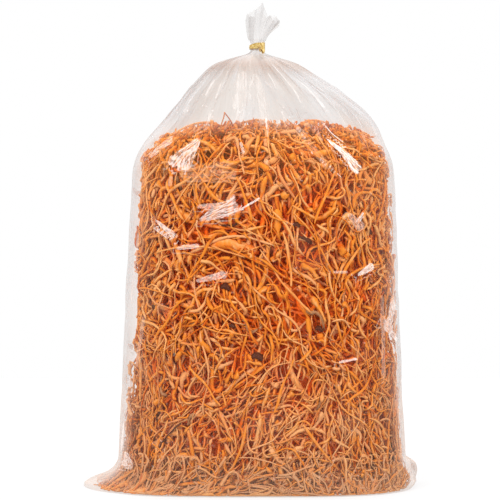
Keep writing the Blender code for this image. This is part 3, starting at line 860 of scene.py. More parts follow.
def club_look(name, settings, tone=None):
    """Dry, fibrous skin: each club has its own tone, its foot is paler, and fine fibres run along it. Joined
    clubs have their tones stored on them, and a club of its own is given one."""
    look = Look(bpy.data.materials.new(name))
    joined = tone is None
    if joined:
        stored = ("tone", "along", "fold", "depth", "dust")
        tone, along, fold, depth, dust = (Wire(look, look.stored(key)) for key in stored)
    else:
        tone, along = look.noise(12.0) * 0.25 + tone, look.noise(28.0)
    mottle = look.noise(260.0, look.place((1, 1, 0.55)), detail=4.0, roughness=0.6)
    shade = tone * 0.60 + mottle * 1.15 + look.noise(13.0, detail=2.0) * 0.5 - 0.635
    if joined:
        # painted light and shade on the club's sides, with its folds
        shade = shade + (fold - 0.4) * 0.28
    stops = [(0.14, settings.rust), (0.44, settings.orange), (0.56, settings.orange), (0.86, settings.pale)]
    colour = look.add("ValToRGB", {"stops": stops}, {"Fac": shade})[0]
    colour = look.blend((1 - along.over(0.0, 0.30)) * 0.45, colour, settings.pale)
    if joined:
        # painted shade: deeper clubs take the deep red
        colour = look.blend(depth.over(DEEP_FROM, DEEP_TO) * DEEP_SHADE_SHARE, colour, DEEP_SHADE_COLOUR)
        # near-black for the few spoilt clubs, and painted shade for the clubs in the hollows
        colour = look.blend(1 - tone.over(SPOILT_SHARE, SPOILT_SHARE * 1.2), colour, settings.spoilt)
        # dust, painted darker near the floor as shade
        dust_with_floor_shade = look.blend(look.height().over(*FLOOR_SHADE_HEIGHTS), FLOOR_SHADED_DUST_COLOUR, DUST_COLOUR)
        colour = look.blend(dust, colour, dust_with_floor_shade)
    fibres = look.noise(1500.0, look.place((1, 1, 0.2)), detail=2.0)
    return look.finish(look.surface({
        "Base Color": colour,
        "Roughness": 0.46 + mottle * 0.25,
        "Normal": look.bump(fibres, 0.5, 0.0003),
        "Specular IOR Level": 0.12,
    }))


def buried_shade_look():
    """The clubs deep inside, in deep reds painted as shade: only dark, stringy streaks show between the outer
    ones.
    """
    look = Look(bpy.data.materials.new("buried_clubs_in_painted_shade"))
    strings = look.noise(330.0, look.place((1.6, 1.6, 0.45), (0.4, 0.2, 0.3)), detail=5.0, roughness=0.65)
    colour = look.blend(strings.over(0.35, 0.75), *SHADED_STRING_COLOURS)
    return look.finish(look.surface({
        "Base Color": look.blend(look.height().over(0.006, 0.030), LOW_STRING_COLOUR, colour),
        "Roughness": 0.8,
        "Specular IOR Level": 0.1,
        "Normal": look.bump(strings, 1.0, 0.002),
    }))


class CORDYCEPS_OT_lay_clubs(bpy.types.Operator):
    """Lay thousands of thin clubs on one another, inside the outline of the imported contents"""

    bl_idname = "cordyceps.lay_clubs"
    bl_label = "Lay the clubs"

    def execute(self, context):
        settings = context.scene.cordyceps_clubs
        look = club_look("dried_club", settings)
        side, top = (
            Pile(place, settings.pile_depth, np.random.default_rng(SEEDS[seed]), lumps)
            for place, seed, lumps in ((Side, "side clubs", SIDE_LUMPS), (Top, "top clubs", TOP_LUMPS))
        )
        top.close_off()
        for name in OUTER_CLUBS:
            points = np.array([v.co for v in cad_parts[name].data.vertices])
            side.keep_clear(points[points[:, 2] < SIDE_HIGH + 0.002])
            top.keep_clear(points[points[:, 2] > TOP_EDGE])
        for hollow in HOLLOWS:
            side.hollow_out(*hollow)
        plans = ((side, settings.side_tries, SIDE_UPRIGHT), (top, settings.top_tries, 0.0))
        for pile, tries, upright in plans:
            for _ in range(tries):
                pile.try_club(random_club(pile.rng, settings, pile.place, upright))
        groups = {quarter: [] for quarter in ("left", "front", "right", "back")}
        for club in side.kept:
            turned = int(((club["u"].mean() + GIRTH / 8) % GIRTH) // (GIRTH / 4))
            groups[QUARTERS[turned]].append(club)
        for quarter, clubs in groups.items():
            self.piece(f"clubs_{quarter}", Side, clubs, look)
        standing = [tuft(top.rng, settings, far_back) for count, far_back in TUFTS for _ in range(count)]
        standing.append(standing_loop(top.rng, settings))
        self.piece("clubs_top", Top, top.kept + standing, look)
        rng = np.random.default_rng(SEEDS["broken clubs"])
        for name, (middle, reach, heights, count, *rest) in HEMS.items():
            broken = [hem_club(rng, settings, reach, heights, *rest) for _ in range(count)]
            self.piece(name, Hem(middle), broken, look)
        self.buried_clubs_in_painted_shade(settings)
        return {"FINISHED"}

    @staticmethod
    def buried_clubs_in_painted_shade(settings):
        """The inside of the heap, painted dark as shade, behind the clubs that can be told apart."""
        angles = np.linspace(0, FULL_TURN, BURIED_COLUMNS)[:, None]
        share = np.linspace(0, 1, BURIED_ROWS)[None, :]
        low, high = CONTENTS_SECTIONS[0][0], CONTENTS_SECTIONS[-1][0]
        points = section_points(CONTENTS_SECTIONS, low + (high - low) * share, angles)
        inset = settings.pile_depth - BURIED_LAP
        insets = np.where(share < 1e-6, BURIED_SKIRT, inset)[..., None]
        flat = (points - np.array([NECK_X, 0, 0])) * (1, 1, 0)
        length = np.linalg.norm(flat, axis=-1, keepdims=True)
        points = points - flat / length * np.minimum(insets, length * 0.9)
        points[..., 2] = BURIED_BOTTOM + (high - inset - BURIED_BOTTOM) * share
        ends = (BURIED_BOTTOM, high - inset)
        bottom, top = (np.full((BURIED_COLUMNS, 1, 3), (NECK_X, 0, z)) for z in ends)
        made = grid_piece("buried_clubs_in_painted_shade", np.concatenate([bottom, points, top], axis=1), closed=True)
        made.data.materials.append(buried_shade_look())
        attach(made, BODY)
        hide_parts("cordyceps_heap")

    @staticmethod
    def piece(name, place, clubs, look):
        made = mesh_from_rings(name, *tubes_of(place, clubs))
        made.data.materials.append(look)
        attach(made, BODY)


class CORDYCEPS_OT_dress_outer_clubs(bpy.types.Operator):
    """Round and colour the clubs that have solids of their own"""

    bl_idname = "cordyceps.dress_outer_clubs"
    bl_label = "Dress the outer clubs"

    def execute(self, context):
        settings = context.scene.cordyceps_clubs
        looks = [club_look(f"outer_club_{i + 1}", settings, tone) for i, tone in enumerate(OUTER_CLUB_TONES)]
        for i, name in enumerate(OUTER_CLUBS):
            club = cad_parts[name]
            club.data.materials.clear()
            club.data.materials.append(looks[i * 7 % len(looks)])
            weld = club.modifiers.new("weld", "WELD")
            weld.merge_threshold = 0.00002
            round_off = club.modifiers.new("round_off", "SUBSURF")
            round_off.levels = round_off.render_levels = 2
            club.data.shade_smooth()
        return {"FINISHED"}


# ---- The film's shape -------------------------------------------------------
FILM_COLUMNS = 361
FILM_ROW_STEP, NECK_ROW_STEP, NECK_FROM = 0.0016, 0.0009, 0.262
BASE_ROWS, TAIL_ROWS = 8, 26
FACET_SIZES = ((0.024, 1.0, 3), (0.011, 0.42, 5), (0.005, 0.13, 9))  # spacing, share of the height, seed
FACET_SCATTER, FACET_SPREAD = 0.42, 0.6
EAR_CRUMPLE = 0.55  # how much stronger the smallest facets are on the ears
# How strong the facets are on the body, and how much stronger where the film hangs free and on the ears
BODY_FACETS, FREE_FACETS, EAR_FACETS = 0.62, 1.1, 1.2
FACET_OFFSET = 0.55  # holds the crumpled film off the contents
EAR_PULL = 0.004  # the film is fully ear where it reaches out this far
TIED_FLATNESS = 0.82  # the share of the pleats that the tie takes away
# The heights between which the film leaves the floor, comes free of the contents, gets its pleats, calms down
# at the neck and is tied, and those between which the ears' crumples come in and fade
OFF_FLOOR, FREE_HEIGHTS, PLEATED = (0.0, 0.02), (0.205, 0.25), (0.195, 0.285)
NECK_CALM, TIED = (0.272, 0.290), (0.286, 0.2975)
EAR_START, EAR_END = (0.001, 0.007), (0.012, 0.030)
PLEAT_COUNT, PLEAT_WIDTHS, PLEAT_HEIGHTS = 46, (0.035, 0.13), (0.35, 1.0)
PLEAT_ENDS, PLEAT_FADE, PLEAT_DRIFT = (0.195, 0.262), 0.035, 0.10
TAIL_OUTLINE = (
    (-0.0024, 0.3236), (0.0030, 0.3262), (0.0088, 0.3308), (0.0108, 0.3262),
    (0.0122, 0.3230), (0.0165, 0.3226), (0.0205, 0.3196),
)
TAIL_FOLDS, TAIL_FOLD_DEPTH, TAIL_HALF_DEPTH = (4, 7, 11), 0.0027, 0.0044
TAIL_BACK_DROP, TAIL_BACK = 0.0028, (0.0, 0.004)  # how far the rim drops to the back, and from where to where
TAIL_LEFT = (0.1, 0.9)  # where its left side comes in, which flares sooner
TAIL_RAGS, TAIL_RAG_DEPTH = 23, 0.0004
# Creases and folds on the front with painted highlights: middle x and height, the way they run in degrees, half
# length, half width, how white their painted highlight is, and how much wider they are at their far end
FRONT_CREASES = (
    (-0.0410, 0.2250, 64, 0.0122, 0.0070, 0.72, -0.75),
    (-0.0585, 0.2298, 42, 0.0100, 0.0032, 0.60, 0.2),
    (-0.0200, 0.1862, 24, 0.0135, 0.0048, 0.75, 0.7),
    (-0.0260, 0.1905, 4, 0.0080, 0.0016, 0.60, 0.0),
    (0.0005, 0.1918, 30, 0.0075, 0.0007, 1.00, 0.3),
    (-0.0555, 0.1755, -36, 0.0105, 0.0018, 0.85, 0.5),
    (-0.0580, 0.1720, -32, 0.0080, 0.0006, 0.80, 0.0),
    (-0.0270, 0.2120, 3, 0.0200, 0.0070, 0.30, 0.3),
    (-0.0050, 0.2280, -60, 0.0050, 0.0010, 0.65, 0.0),
    (-0.0520, 0.2070, 80, 0.0040, 0.0016, 0.45, 0.0),
    (-0.0400, 0.1635, 6, 0.0080, 0.0016, 0.70, 0.0),
    (-0.0250, 0.1435, 14, 0.0110, 0.0022, 0.65, 0.4),
    (0.0620, 0.2240, -50, 0.0148, 0.0028, 1.00, 0.75),
    (0.0540, 0.2390, -50, 0.0090, 0.0005, 0.80, 0.0),
    (0.0340, 0.2370, -60, 0.0125, 0.0005, 0.70, 0.0),
    (0.0405, 0.2285, -57, 0.0185, 0.0032, 0.24, 0.0),
    (0.0500, 0.2170, -42, 0.0130, 0.0005, 0.70, 0.0),
    (0.0110, 0.2440, -58, 0.0065, 0.0011, 0.80, 0.0),
    (0.0690, 0.1800, -45, 0.0070, 0.0030, 0.50, 0.4),
    (0.0760, 0.1480, 28, 0.0075, 0.0022, 0.95, 0.5),
    (0.0710, 0.1820, 52, 0.0055, 0.0008, 0.95, 0.0),
    (0.0590, 0.1470, 0, 0.0055, 0.0009, 0.55, 0.0),
    (0.0640, 0.0890, 10, 0.0065, 0.0009, 0.90, 0.0),
    (0.0240, 0.2720, 90, 0.0150, 0.0009, 0.45, 0.5),
    (-0.0050, 0.2620, 90, 0.0190, 0.0050, 0.26, 0.3),
    (0.0080, 0.2610, 90, 0.0180, 0.0060, 0.30, 0.3),
    (0.0520, 0.2610, 88, 0.0170, 0.0008, 0.40, 0.4),
    (0.0400, 0.2660, 94, 0.0110, 0.0012, 0.35, -0.5),
    (-0.0270, 0.2710, 95, 0.0060, 0.0016, 0.45, 0.4),
    (-0.0400, 0.2610, 97, 0.0080, 0.0011, 0.40, 0.0),
    (-0.0815, 0.0200, -20, 0.0080, 0.0048, 0.70, -0.4),
    (-0.0860, 0.0350, 80, 0.0100, 0.0025, 0.60, 0.0),
    (-0.0730, 0.1000, 80, 0.0200, 0.0020, 0.40, 0.0),
    (-0.0770, 0.1500, 84, 0.0260, 0.0020, 0.45, 0.0),
    (0.0880, 0.1050, 88, 0.0300, 0.0020, 0.40, 0.0),
)
# The other sides' creases with painted highlights, by the least and most of each random number: the share of
# the way round, the half length, the height, the way they run, the half width as a share of the half length,
# how white their painted highlight is, and how much wider at their far end. The shoulder's have half length,
# half width, whiteness and widening.
OTHER_CREASES, OTHER_RANGES = 46, (
    (-0.08, 0.48), (0.004, 0.013), (0.03, 0.228), (-70, 70), (0.06, 0.4), (0.3, 0.8), (-0.8, 0.8),
)
SHOULDER_CREASES, SHOULDER_SLANT, SHOULDER_RANGES = 110, 24, (
    (0.0025, 0.0075), (0.0003, 0.0011), (0.10, 0.42), (-0.8, 0.8),
)
SHOULDER_HEIGHTS = (0.236, 0.284)
CREASE_MARGIN = 0.0022  # how far the numbers stored for a crease reach past its edge
NO_CREASE = (2.0, 2.0, 0.0)  # the numbers stored where there is none


def facet_field(u, v, width, low, high, spacing, seed):
    """Flat facets with sharp ridges between them, of height about 1: random heights joined by triangles."""
    rng = np.random.default_rng(seed)
    columns = max(int(width / spacing), 3)
    rows = int((high - low) / spacing) + 3
    i, j = np.meshgrid(np.arange(columns), np.arange(rows), indexing="ij")
    x = (i + rng.uniform(-FACET_SCATTER, FACET_SCATTER, i.shape) + 0.5 * (j % 2)) * width / columns
    y = low + (j - 1 + rng.uniform(-FACET_SCATTER, FACET_SCATTER, j.shape)) * (high - low) / (rows - 2)
    z = rng.normal(0, FACET_SPREAD, i.shape)
    x = np.concatenate([x.ravel() + shift for shift in (-width, 0, width)])
    y, z = np.tile(y.ravel(), 3), np.tile(z.ravel(), 3)
    corners, _, faces, origins, _, _ = delaunay_2d_cdt([Vector(p) for p in zip(x, y)], [], [], 0, 1e-7)
    tree = BVHTree.FromPolygons([(c.x, c.y, z[o[0]]) for c, o in zip(corners, origins)], faces)
    hits = (tree.ray_cast(Vector((a, b, 9.0)), Vector((0, 0, -1)))[0] for a, b in zip(u.ravel(), v.ravel()))
    return np.array([hit.z if hit else 0.0 for hit in hits]).reshape(u.shape)


def pleats(angles, heights):
    """Folds that run down from the gathered neck, of height about 1 where they are strongest."""
    rng = np.random.default_rng(SEEDS["pleats"])
    total = np.zeros(np.broadcast(angles, heights).shape)
    for k in range(PLEAT_COUNT):
        centre = FULL_TURN * (k + rng.uniform(-0.4, 0.4)) / PLEAT_COUNT
        width = rng.uniform(*PLEAT_WIDTHS)
        height = rng.uniform(*PLEAT_HEIGHTS) * rng.choice((1, 1, -0.8))
        ends = rng.uniform(*PLEAT_ENDS)
        drift = rng.uniform(-PLEAT_DRIFT, PLEAT_DRIFT) * (heights - 0.30) / 0.1
        away = np.abs(wrapped(angles - centre - drift))
        total += height * np.exp(-away / width) * ramp(ends, ends + PLEAT_FADE, heights)
    return total


def film_body(settings, heights, angles, lengths):
    """The bag from its base to the top of the tied neck."""
    h, a = np.meshgrid(heights, angles, indexing="xy")
    u = np.broadcast_to(lengths[:, None], h.shape)
    points = section_points(FILM_SECTIONS, h, a)
    ears = ear_reach(h, a)
    points[..., 0] += ears
    middle = np.stack([np.full(h.shape, NECK_X), np.zeros(h.shape), h - 0.02 * ramp(0.20, 0.28, h)], axis=-1)
    out = unit(points - middle)
    fields = [facet_field(u, h, GIRTH, 0.0, NECK_TOP, size, seed) for size, _, seed in FACET_SIZES]
    at_ears = np.clip(ears / EAR_PULL, 0, 1) * ramp(*EAR_START, h)
    crumple = sum(share * field for (_, share, _), field in zip(FACET_SIZES, fields))
    crumple = crumple + EAR_CRUMPLE * at_ears * fields[-1]
    calm = np.maximum(ramp(*OFF_FLOOR, h), at_ears) * (1 - ramp(*NECK_CALM, h))
    free = BODY_FACETS + FREE_FACETS * ramp(*FREE_HEIGHTS, h) + EAR_FACETS * at_ears * (1 - ramp(*EAR_END, h))
    lift = settings.crumple * (crumple * free + FACET_OFFSET) * calm
    tied = 1 - TIED_FLATNESS * ramp(*TIED, h)
    lift += settings.pleat * pleats(a, h) * ramp(*PLEATED, h) * tied
    return points + out * lift[..., None]


def film_tail(start, angles):
    """The loose tail from the ring at the neck to its ragged rim, folded like a fan."""
    rng = np.random.default_rng(SEEDS["tail"])
    outline = np.array(TAIL_OUTLINE)
    middle_x, half = (outline[0, 0] + outline[-1, 0]) / 2, (outline[-1, 0] - outline[0, 0]) / 2
    folds = sum(rng.uniform(0.5, 1.0) * np.cos(n * angles + rng.uniform(*PHASES)) for n in TAIL_FOLDS)
    x = middle_x + half * np.cos(angles) * (1 + 0.05 * folds)
    y = TAIL_HALF_DEPTH * np.sin(angles) + TAIL_FOLD_DEPTH * folds
    rim = np.interp(x, outline[:, 0], outline[:, 1]) - TAIL_BACK_DROP * ramp(*TAIL_BACK, y)
    rim = rim + TAIL_RAG_DEPTH * np.cos(TAIL_RAGS * angles)
    end = np.stack([x, y, rim], axis=-1)
    shares = (np.arange(TAIL_ROWS) + 1) / TAIL_ROWS
    left = ramp(*TAIL_LEFT, -np.cos(angles))[:, None]
    flare = ((0.25 * shares + 0.75 * shares**1.6) * (1 - left) + shares**0.45 * left)[..., None]
    rise = shares[None, :, None]
    tail = start[:, None] * (1 - flare) + end[:, None] * flare
    tail[..., 2] = (start[:, None, 2:] * (1 - rise) + end[:, None, 2:] * rise)[..., 0]
    return tail


def crease_patches():
    """All creases, with their place given by the length round the bag and the height."""
    patches = [(front_place(FILM_SECTIONS, x, z), z, *rest) for x, z, *rest in FRONT_CREASES]
    rng = np.random.default_rng(SEEDS["creases"])
    for _ in range(OTHER_CREASES):
        turn, size, height, slant, width, white, widening = (rng.uniform(*limits) for limits in OTHER_RANGES)
        patches.append(((GIRTH * turn) % GIRTH, height, slant, size, size * width, white, widening))
    for _ in range(SHOULDER_CREASES):
        place = GIRTH * rng.random(), rng.uniform(*SHOULDER_HEIGHTS), 90 + rng.normal(0, SHOULDER_SLANT)
        patches.append((*place, *(rng.uniform(*limits) for limits in SHOULDER_RANGES)))
    return patches


def crease_field(u, heights):
    """For each point of the film its place in the nearest crease, as shares of the crease's half length and
    half width, and how white the crease's painted highlight is."""
    best = np.full(u.shape, -1e9)
    found = np.full((*u.shape, 3), NO_CREASE)
    for middle, z, degrees, length, width, white, widening in crease_patches():
        du, dz = wrapped(u - middle, GIRTH), heights - z
        c, s = math.cos(math.radians(degrees)), math.sin(math.radians(degrees))
        along = (du * c + dz * s) / length
        wide = width * np.maximum(1 + widening * np.clip(along, -1, 1), 0.1)
        across = (dz * c - du * s) / wide
        inside = 1 - np.maximum(np.abs(along), np.abs(across))
        near = (np.abs(along) < 1 + CREASE_MARGIN / length) & (np.abs(across) < 1 + CREASE_MARGIN / wide)
        here = near & (inside > best)
        best = np.where(here, inside, best)
        found[here] = np.stack([along, across, np.full(u.shape, white)], axis=-1)[here]
    return found


# ---- The film's look and piece ----------------------------------------------
# Haze colours: the veils' orange is painted light from the contents, the rims' whitish colours painted sheen
VEIL_COLOUR, UPPER_VEIL_COLOUR = (0.62, 0.39, 0.27), (0.66, 0.30, 0.10)
RIM_COLOUR, BASE_RIM_COLOUR = (0.56, 0.50, 0.475), (0.60, 0.44, 0.35)
SHOULDER_COLOURS, SHOULDER_RIM_COLOUR = ((0.435, 0.420, 0.412), (0.405, 0.345, 0.300)), (0.50, 0.487, 0.497)
NECK_COLOUR, TAIL_COLOUR = (0.37, 0.275, 0.225), (0.50, 0.49, 0.49)
PAINTED_HIGHLIGHT_COLOUR, FREE_PAINTED_HIGHLIGHT_COLOUR = (0.92, 0.80, 0.745), (0.80, 0.76, 0.745)


def film_look(settings):
    """Clear film: mostly see-through, glossy on its creases with highlights painted on them, faintly hazy in
    patches.
    """
    look = Look(bpy.data.materials.new("clear_film"))

    # Patterns, some of them along the unrolled film
    cloud = look.noise(26.0, look.place((1, 1, 1.2)), detail=5.0, roughness=0.6)
    fine = look.noise(300.0, look.place((1.0, 1.0, 0.30), (0.3, 0.2, 0.5)), detail=4.0, roughness=0.65)
    wrap = look.stored("wrap", "Vector")
    drawn = look.noise(1.0, look.mapped(wrap, (420, 420, 16)), detail=3.0, roughness=0.6)
    bands = look.noise(1.0, look.mapped(wrap, (130, 130, 9)), detail=2.0)
    folds = look.noise(1.0, look.mapped(wrap, (34, 34, 14)), detail=1.5)
    # painted glints: small bright specks, scattered in clouds
    painted_specks = look.noise(430.0, detail=2.0).over(0.64, 0.72) * cloud.over(0.44, 0.56)

    # Parts of the bag: the low part, the free shoulder, the neck, all that is tied, and the rest
    height = look.height()
    low = 1 - height.over(0.05, 0.115)
    base = 1 - height.over(0.006, 0.028)
    free = height.over(0.232, 0.254)
    upper = height.over(0.185, 0.215) * (1 - free)
    neck = height.over(0.277, 0.292) * (1 - height.over(0.2965, 0.2995))
    tied = height.over(0.284, 0.300)
    body = 1 - tied

    # Creases with torn edges, painted white as highlights where they would catch the light
    parts = look.add("SeparateXYZ", None, {0: look.stored("crease", "Vector")})
    along, across, white = (Wire(look, parts[name]) for name in "XYZ")
    ridges = look.add("CombineXYZ", None, {0: along * 3.2, 1: across * 6.5, 2: height * 90})[0]
    lines = look.noise(1.0, ridges, detail=3.0, roughness=0.6)
    torn = look.noise(230.0, detail=3.0, roughness=0.6)
    inside = 1 - (along**6.0 + across**4.0) ** 0.5 + (torn - 0.5) * 1.5
    painted_glint = inside.over(0.0, 0.40) * white * (0.36 + lines.over(0.40, 0.58) * 0.56)
    creases = fine * 0.5 * body + drawn * (0.5 + free * 0.3 - tied * 0.6) + bands * free * (1.3 - tied)
    creases = creases + folds * tied * 3.0 + lines * white * 0.8
    normal = look.bump(creases, 0.6, 0.0006)

    # How much light the film scatters: more in clouds, and at the outline and in creases as painted sheen and
    # highlights
    facing = look.wire("LayerWeight", None, {"Normal": normal}, "Facing")
    outline = look.wire("LayerWeight", output="Facing")
    beige = folds.over(0.40, 0.62)
    haze = settings.haze + low * 0.020 + upper * 0.05 + base * 0.075 + cloud.over(0.52, 0.74) * 0.070
    haze = haze + free * body * (0.150 + beige * 0.12)
    # on the tail the haze comes in bands along its folds: painted light and shade of the folds
    haze = haze + tied * (0.13 + folds.over(0.42, 0.58) * 0.38) + neck * 0.27
    # pale streaks and bands, partly whitened film and partly painted sheen, and the painted specks
    pale = drawn.over(0.52, 0.70) * (0.009 + free * body * 0.035)
    pale = pale + bands.over(0.52, 0.66) * free * body * 0.05 + painted_specks * body * 0.16
    # where the film is seen edge-on its haze rises and turns whitish: partly real haze, partly painted sheen
    rim = outline.over(0.40, 0.78)
    base_rim = outline.over(0.55, 0.85) * (1 - height.over(0.055, 0.100))
    edge = outline**2.2 * (0.20 + drawn * 0.42) * (1 - tied * 0.6) + base_rim * (0.10 + drawn * 0.35)
    haze = haze + painted_glint * 0.76 + pale + edge * height.over(0.0004, 0.003)
    gloss = (0.007 + facing**4.2 * 0.80) * height.over(0.0005, 0.004) * (1 - outline.over(0.80, 1.0) * 0.7)

    # Its colours where it scatters, with painted light and sheen in them
    veil = look.blend(upper, VEIL_COLOUR, UPPER_VEIL_COLOUR)
    veil = look.blend(rim, veil, RIM_COLOUR)
    veil = look.blend(base_rim, veil, BASE_RIM_COLOUR)
    shoulder = look.blend(beige, *SHOULDER_COLOURS)
    shoulder = look.blend(rim, shoulder, SHOULDER_RIM_COLOUR)
    shoulder = look.blend(neck, shoulder, NECK_COLOUR)
    scatter = look.blend(tied, look.blend(free, veil, shoulder), TAIL_COLOUR)
    # painted highlights: creases, specks and pale streaks turn the haze towards a near-white colour
    painted_highlight = look.blend(free, PAINTED_HIGHLIGHT_COLOUR, FREE_PAINTED_HIGHLIGHT_COLOUR)
    bright = (painted_glint + pale * 2.5).over(0.0, 0.8)
    milky = look.surface({
        "Base Color": look.blend(bright, scatter, painted_highlight),
        "Roughness": 0.6,
        "Specular IOR Level": 0.0,
    })
    clear = look.add("BsdfTransparent", None, {"Color": (*settings.tint, 1.0)})[0]
    shiny = look.surface({
        "Base Color": (1.0, 1.0, 1.0, 1.0),
        "Metallic": 1.0,
        "Roughness": settings.gloss_roughness,
        "Normal": normal,
    })
    return look.finish(look.mix_shaders(gloss, look.mix_shaders(haze, clear, milky), shiny))


class CORDYCEPS_OT_make_film(bpy.types.Operator):
    """Loft the film bag from its folded base to its tail, with crumples and pleats"""

    bl_idname = "cordyceps.make_film"
    bl_label = "Make the film bag"

    def execute(self, context):
        settings = context.scene.cordyceps_film
        lengths = np.linspace(0, GIRTH, FILM_COLUMNS)
        angles = np.interp(lengths, GIRTH_LENGTHS, GIRTH_ANGLES)
        heights = np.concatenate(
            [np.arange(0, NECK_FROM, FILM_ROW_STEP), np.arange(NECK_FROM, NECK_TOP, NECK_ROW_STEP)]
        )
        body = film_body(settings, heights, angles, lengths)
        body[-1] = body[0]
        base = np.repeat(body[:, :1], BASE_ROWS, axis=1)
        base[..., 1] *= np.linspace(0, 1, BASE_ROWS, endpoint=False)[None, :]
        tail = film_tail(body[:, -1], angles)
        tail[-1] = tail[0]
        u, h = np.meshgrid(lengths, heights, indexing="ij")
        creases = np.zeros((FILM_COLUMNS, BASE_ROWS + len(heights) + TAIL_ROWS, 3))
        creases[:, BASE_ROWS : BASE_ROWS + len(heights)] = crease_field(u, h)
        rows = np.concatenate([np.zeros(BASE_ROWS), heights, NECK_TOP + np.linspace(0, 0.02, TAIL_ROWS)])
        turns = np.broadcast_to((FULL_TURN * lengths / GIRTH)[:, None], (FILM_COLUMNS, len(rows)))
        radius = GIRTH / FULL_TURN
        wrap = (radius * np.cos(turns), radius * np.sin(turns), np.broadcast_to(rows, turns.shape))
        points = np.concatenate([base, body, tail], axis=1)
        film = grid_piece("film", points, closed=True, crease=creases, wrap=np.stack(wrap, axis=-1))
        film.data.materials.append(film_look(settings))
        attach(film, BODY)
        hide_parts("film_bag")
        return {"FINISHED"}


# ---- The twist tie ----------------------------------------------------------
TIE_RADIUS, TIE_HEIGHT, TIE_TILT = 0.0053, 0.3019, 0.0006
TIE_KNOT_ANGLE, TIE_KNOT_REACH = math.radians(-68), 0.0020
TIE_GAP_ANGLE = FULL_TURN / 24  # the turn stops so far from the knot on both sides
TIE_ENDS_DIRECTION, TIE_ENDS_LENGTH = (0.05, -0.88, -0.46), 0.0115
TIE_ENDS_TWIST, TIE_ENDS_OFFSET = math.radians(330), 0.00045
TIE_THICKNESS = 0.00022
TIE_WIRE_RISE, TIE_WIRE_WIDTH = 0.00016, 0.2
TIE_CRIMP, TIE_CRIMP_WAVES = 0.00005, 5
TIE_ACROSS, TIE_END_STEPS, TIE_TURN_STEPS = 11, 46, 120
TIE_GATHER = 0.35  # how much narrower the strip is on the left, where it is gathered
BRIGHT_GOLD = (0.97, 0.74, 0.32)


def tie_end(side):
    """Middles, across and out directions of one twisted end, from the neck outwards. side is +1 or -1."""
    radial = np.array([math.cos(TIE_KNOT_ANGLE), math.sin(TIE_KNOT_ANGLE), 0])
    root = np.array([NECK_X, 0, TIE_HEIGHT]) + radial * (TIE_RADIUS + TIE_KNOT_REACH)
    away = unit(np.array(TIE_ENDS_DIRECTION))
    flat = -unit(np.cross([0, 0, 1], away))
    stand = np.cross(flat, away)
    t = np.linspace(0, 1, TIE_END_STEPS)[:, None]
    turn = TIE_ENDS_TWIST * t
    out = (flat * np.cos(turn) + stand * np.sin(turn)) * side
    across = np.cross(away * -side, out)
    return root + away * TIE_ENDS_LENGTH * t + out * TIE_ENDS_OFFSET, across, out


def tie_turn():
    """The same for the turn round the neck, clockwise from the knot and back to it."""
    angles = TIE_KNOT_ANGLE - FULL_TURN * (np.arange(1, TIE_TURN_STEPS) / TIE_TURN_STEPS)
    started = angles < TIE_KNOT_ANGLE - TIE_GAP_ANGLE
    angles = angles[started & (angles > TIE_KNOT_ANGLE - FULL_TURN + TIE_GAP_ANGLE)]
    out = np.stack([np.cos(angles), np.sin(angles), np.zeros_like(angles)], axis=-1)
    middle = np.array([NECK_X, 0, TIE_HEIGHT]) + out * TIE_RADIUS
    middle[:, 2] += TIE_TILT * out[:, 0]
    return middle, np.broadcast_to([0.0, 0.0, 1.0], out.shape), out


def tie_look(settings):
    """Gold foil over paper and wire: creased, glossy, duller where it is rubbed."""
    look = Look(bpy.data.materials.new("gold_foil"))
    rub = look.noise(420.0, detail=3.0)
    creases = look.noise(620.0, look.place((1, 1, 0.5)), detail=4.0, roughness=0.6)
    return look.finish(look.surface({
        "Base Color": look.blend(rub.over(0.38, 0.62), settings.gold, BRIGHT_GOLD),
        "Metallic": 0.75,
        "Roughness": 0.14 + rub * 0.20,
        "Normal": look.bump(creases, 1.0, 0.0010),
    }))


class CORDYCEPS_OT_make_tie(bpy.types.Operator):
    """Wind the gold strip once round the neck and twist its ends together"""

    bl_idname = "cordyceps.make_tie"
    bl_label = "Make the twist tie"

    def execute(self, context):
        settings = context.scene.cordyceps_tie
        parts = [[line[::-1] for line in tie_end(1)], tie_turn(), tie_end(-1)]
        middle, across, out = (np.concatenate([part[k] for part in parts]) for k in range(3))
        across, out = unit(across), unit(out)
        s = np.linspace(-1, 1, TIE_ACROSS)
        wide = settings.width * (1 - TIE_GATHER * ramp(0.0, TIE_RADIUS, NECK_X - middle[:, 0]))
        wire = TIE_WIRE_RISE * np.exp(-((s / TIE_WIRE_WIDTH) ** 2))
        rng = np.random.default_rng(SEEDS["crimps"])
        steps = np.arange(len(middle))
        crimp = sum(
            rng.uniform(0.3, 1.0) * np.sin(steps * rng.uniform(0.2, 0.9) + rng.uniform(*PHASES))
            for _ in range(TIE_CRIMP_WAVES)
        )
        points = (
            middle[:, None]
            + across[:, None] * (s[None, :] * wide[:, None] / 2)[..., None]
            + out[:, None] * (wire[None, :] + TIE_CRIMP * crimp[:, None] * np.abs(s)[None, :])[..., None]
        )
        tie = grid_piece("gold_tie", points, closed=False)
        solid = tie.modifiers.new("foil", "SOLIDIFY")
        solid.thickness, solid.offset = TIE_THICKNESS, 0.0
        bpy.ops.object.modifier_apply(modifier="foil")
        tie.data.materials.append(tie_look(settings))
        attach(tie, BODY)
        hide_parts("twist_tie")
        return {"FINISHED"}


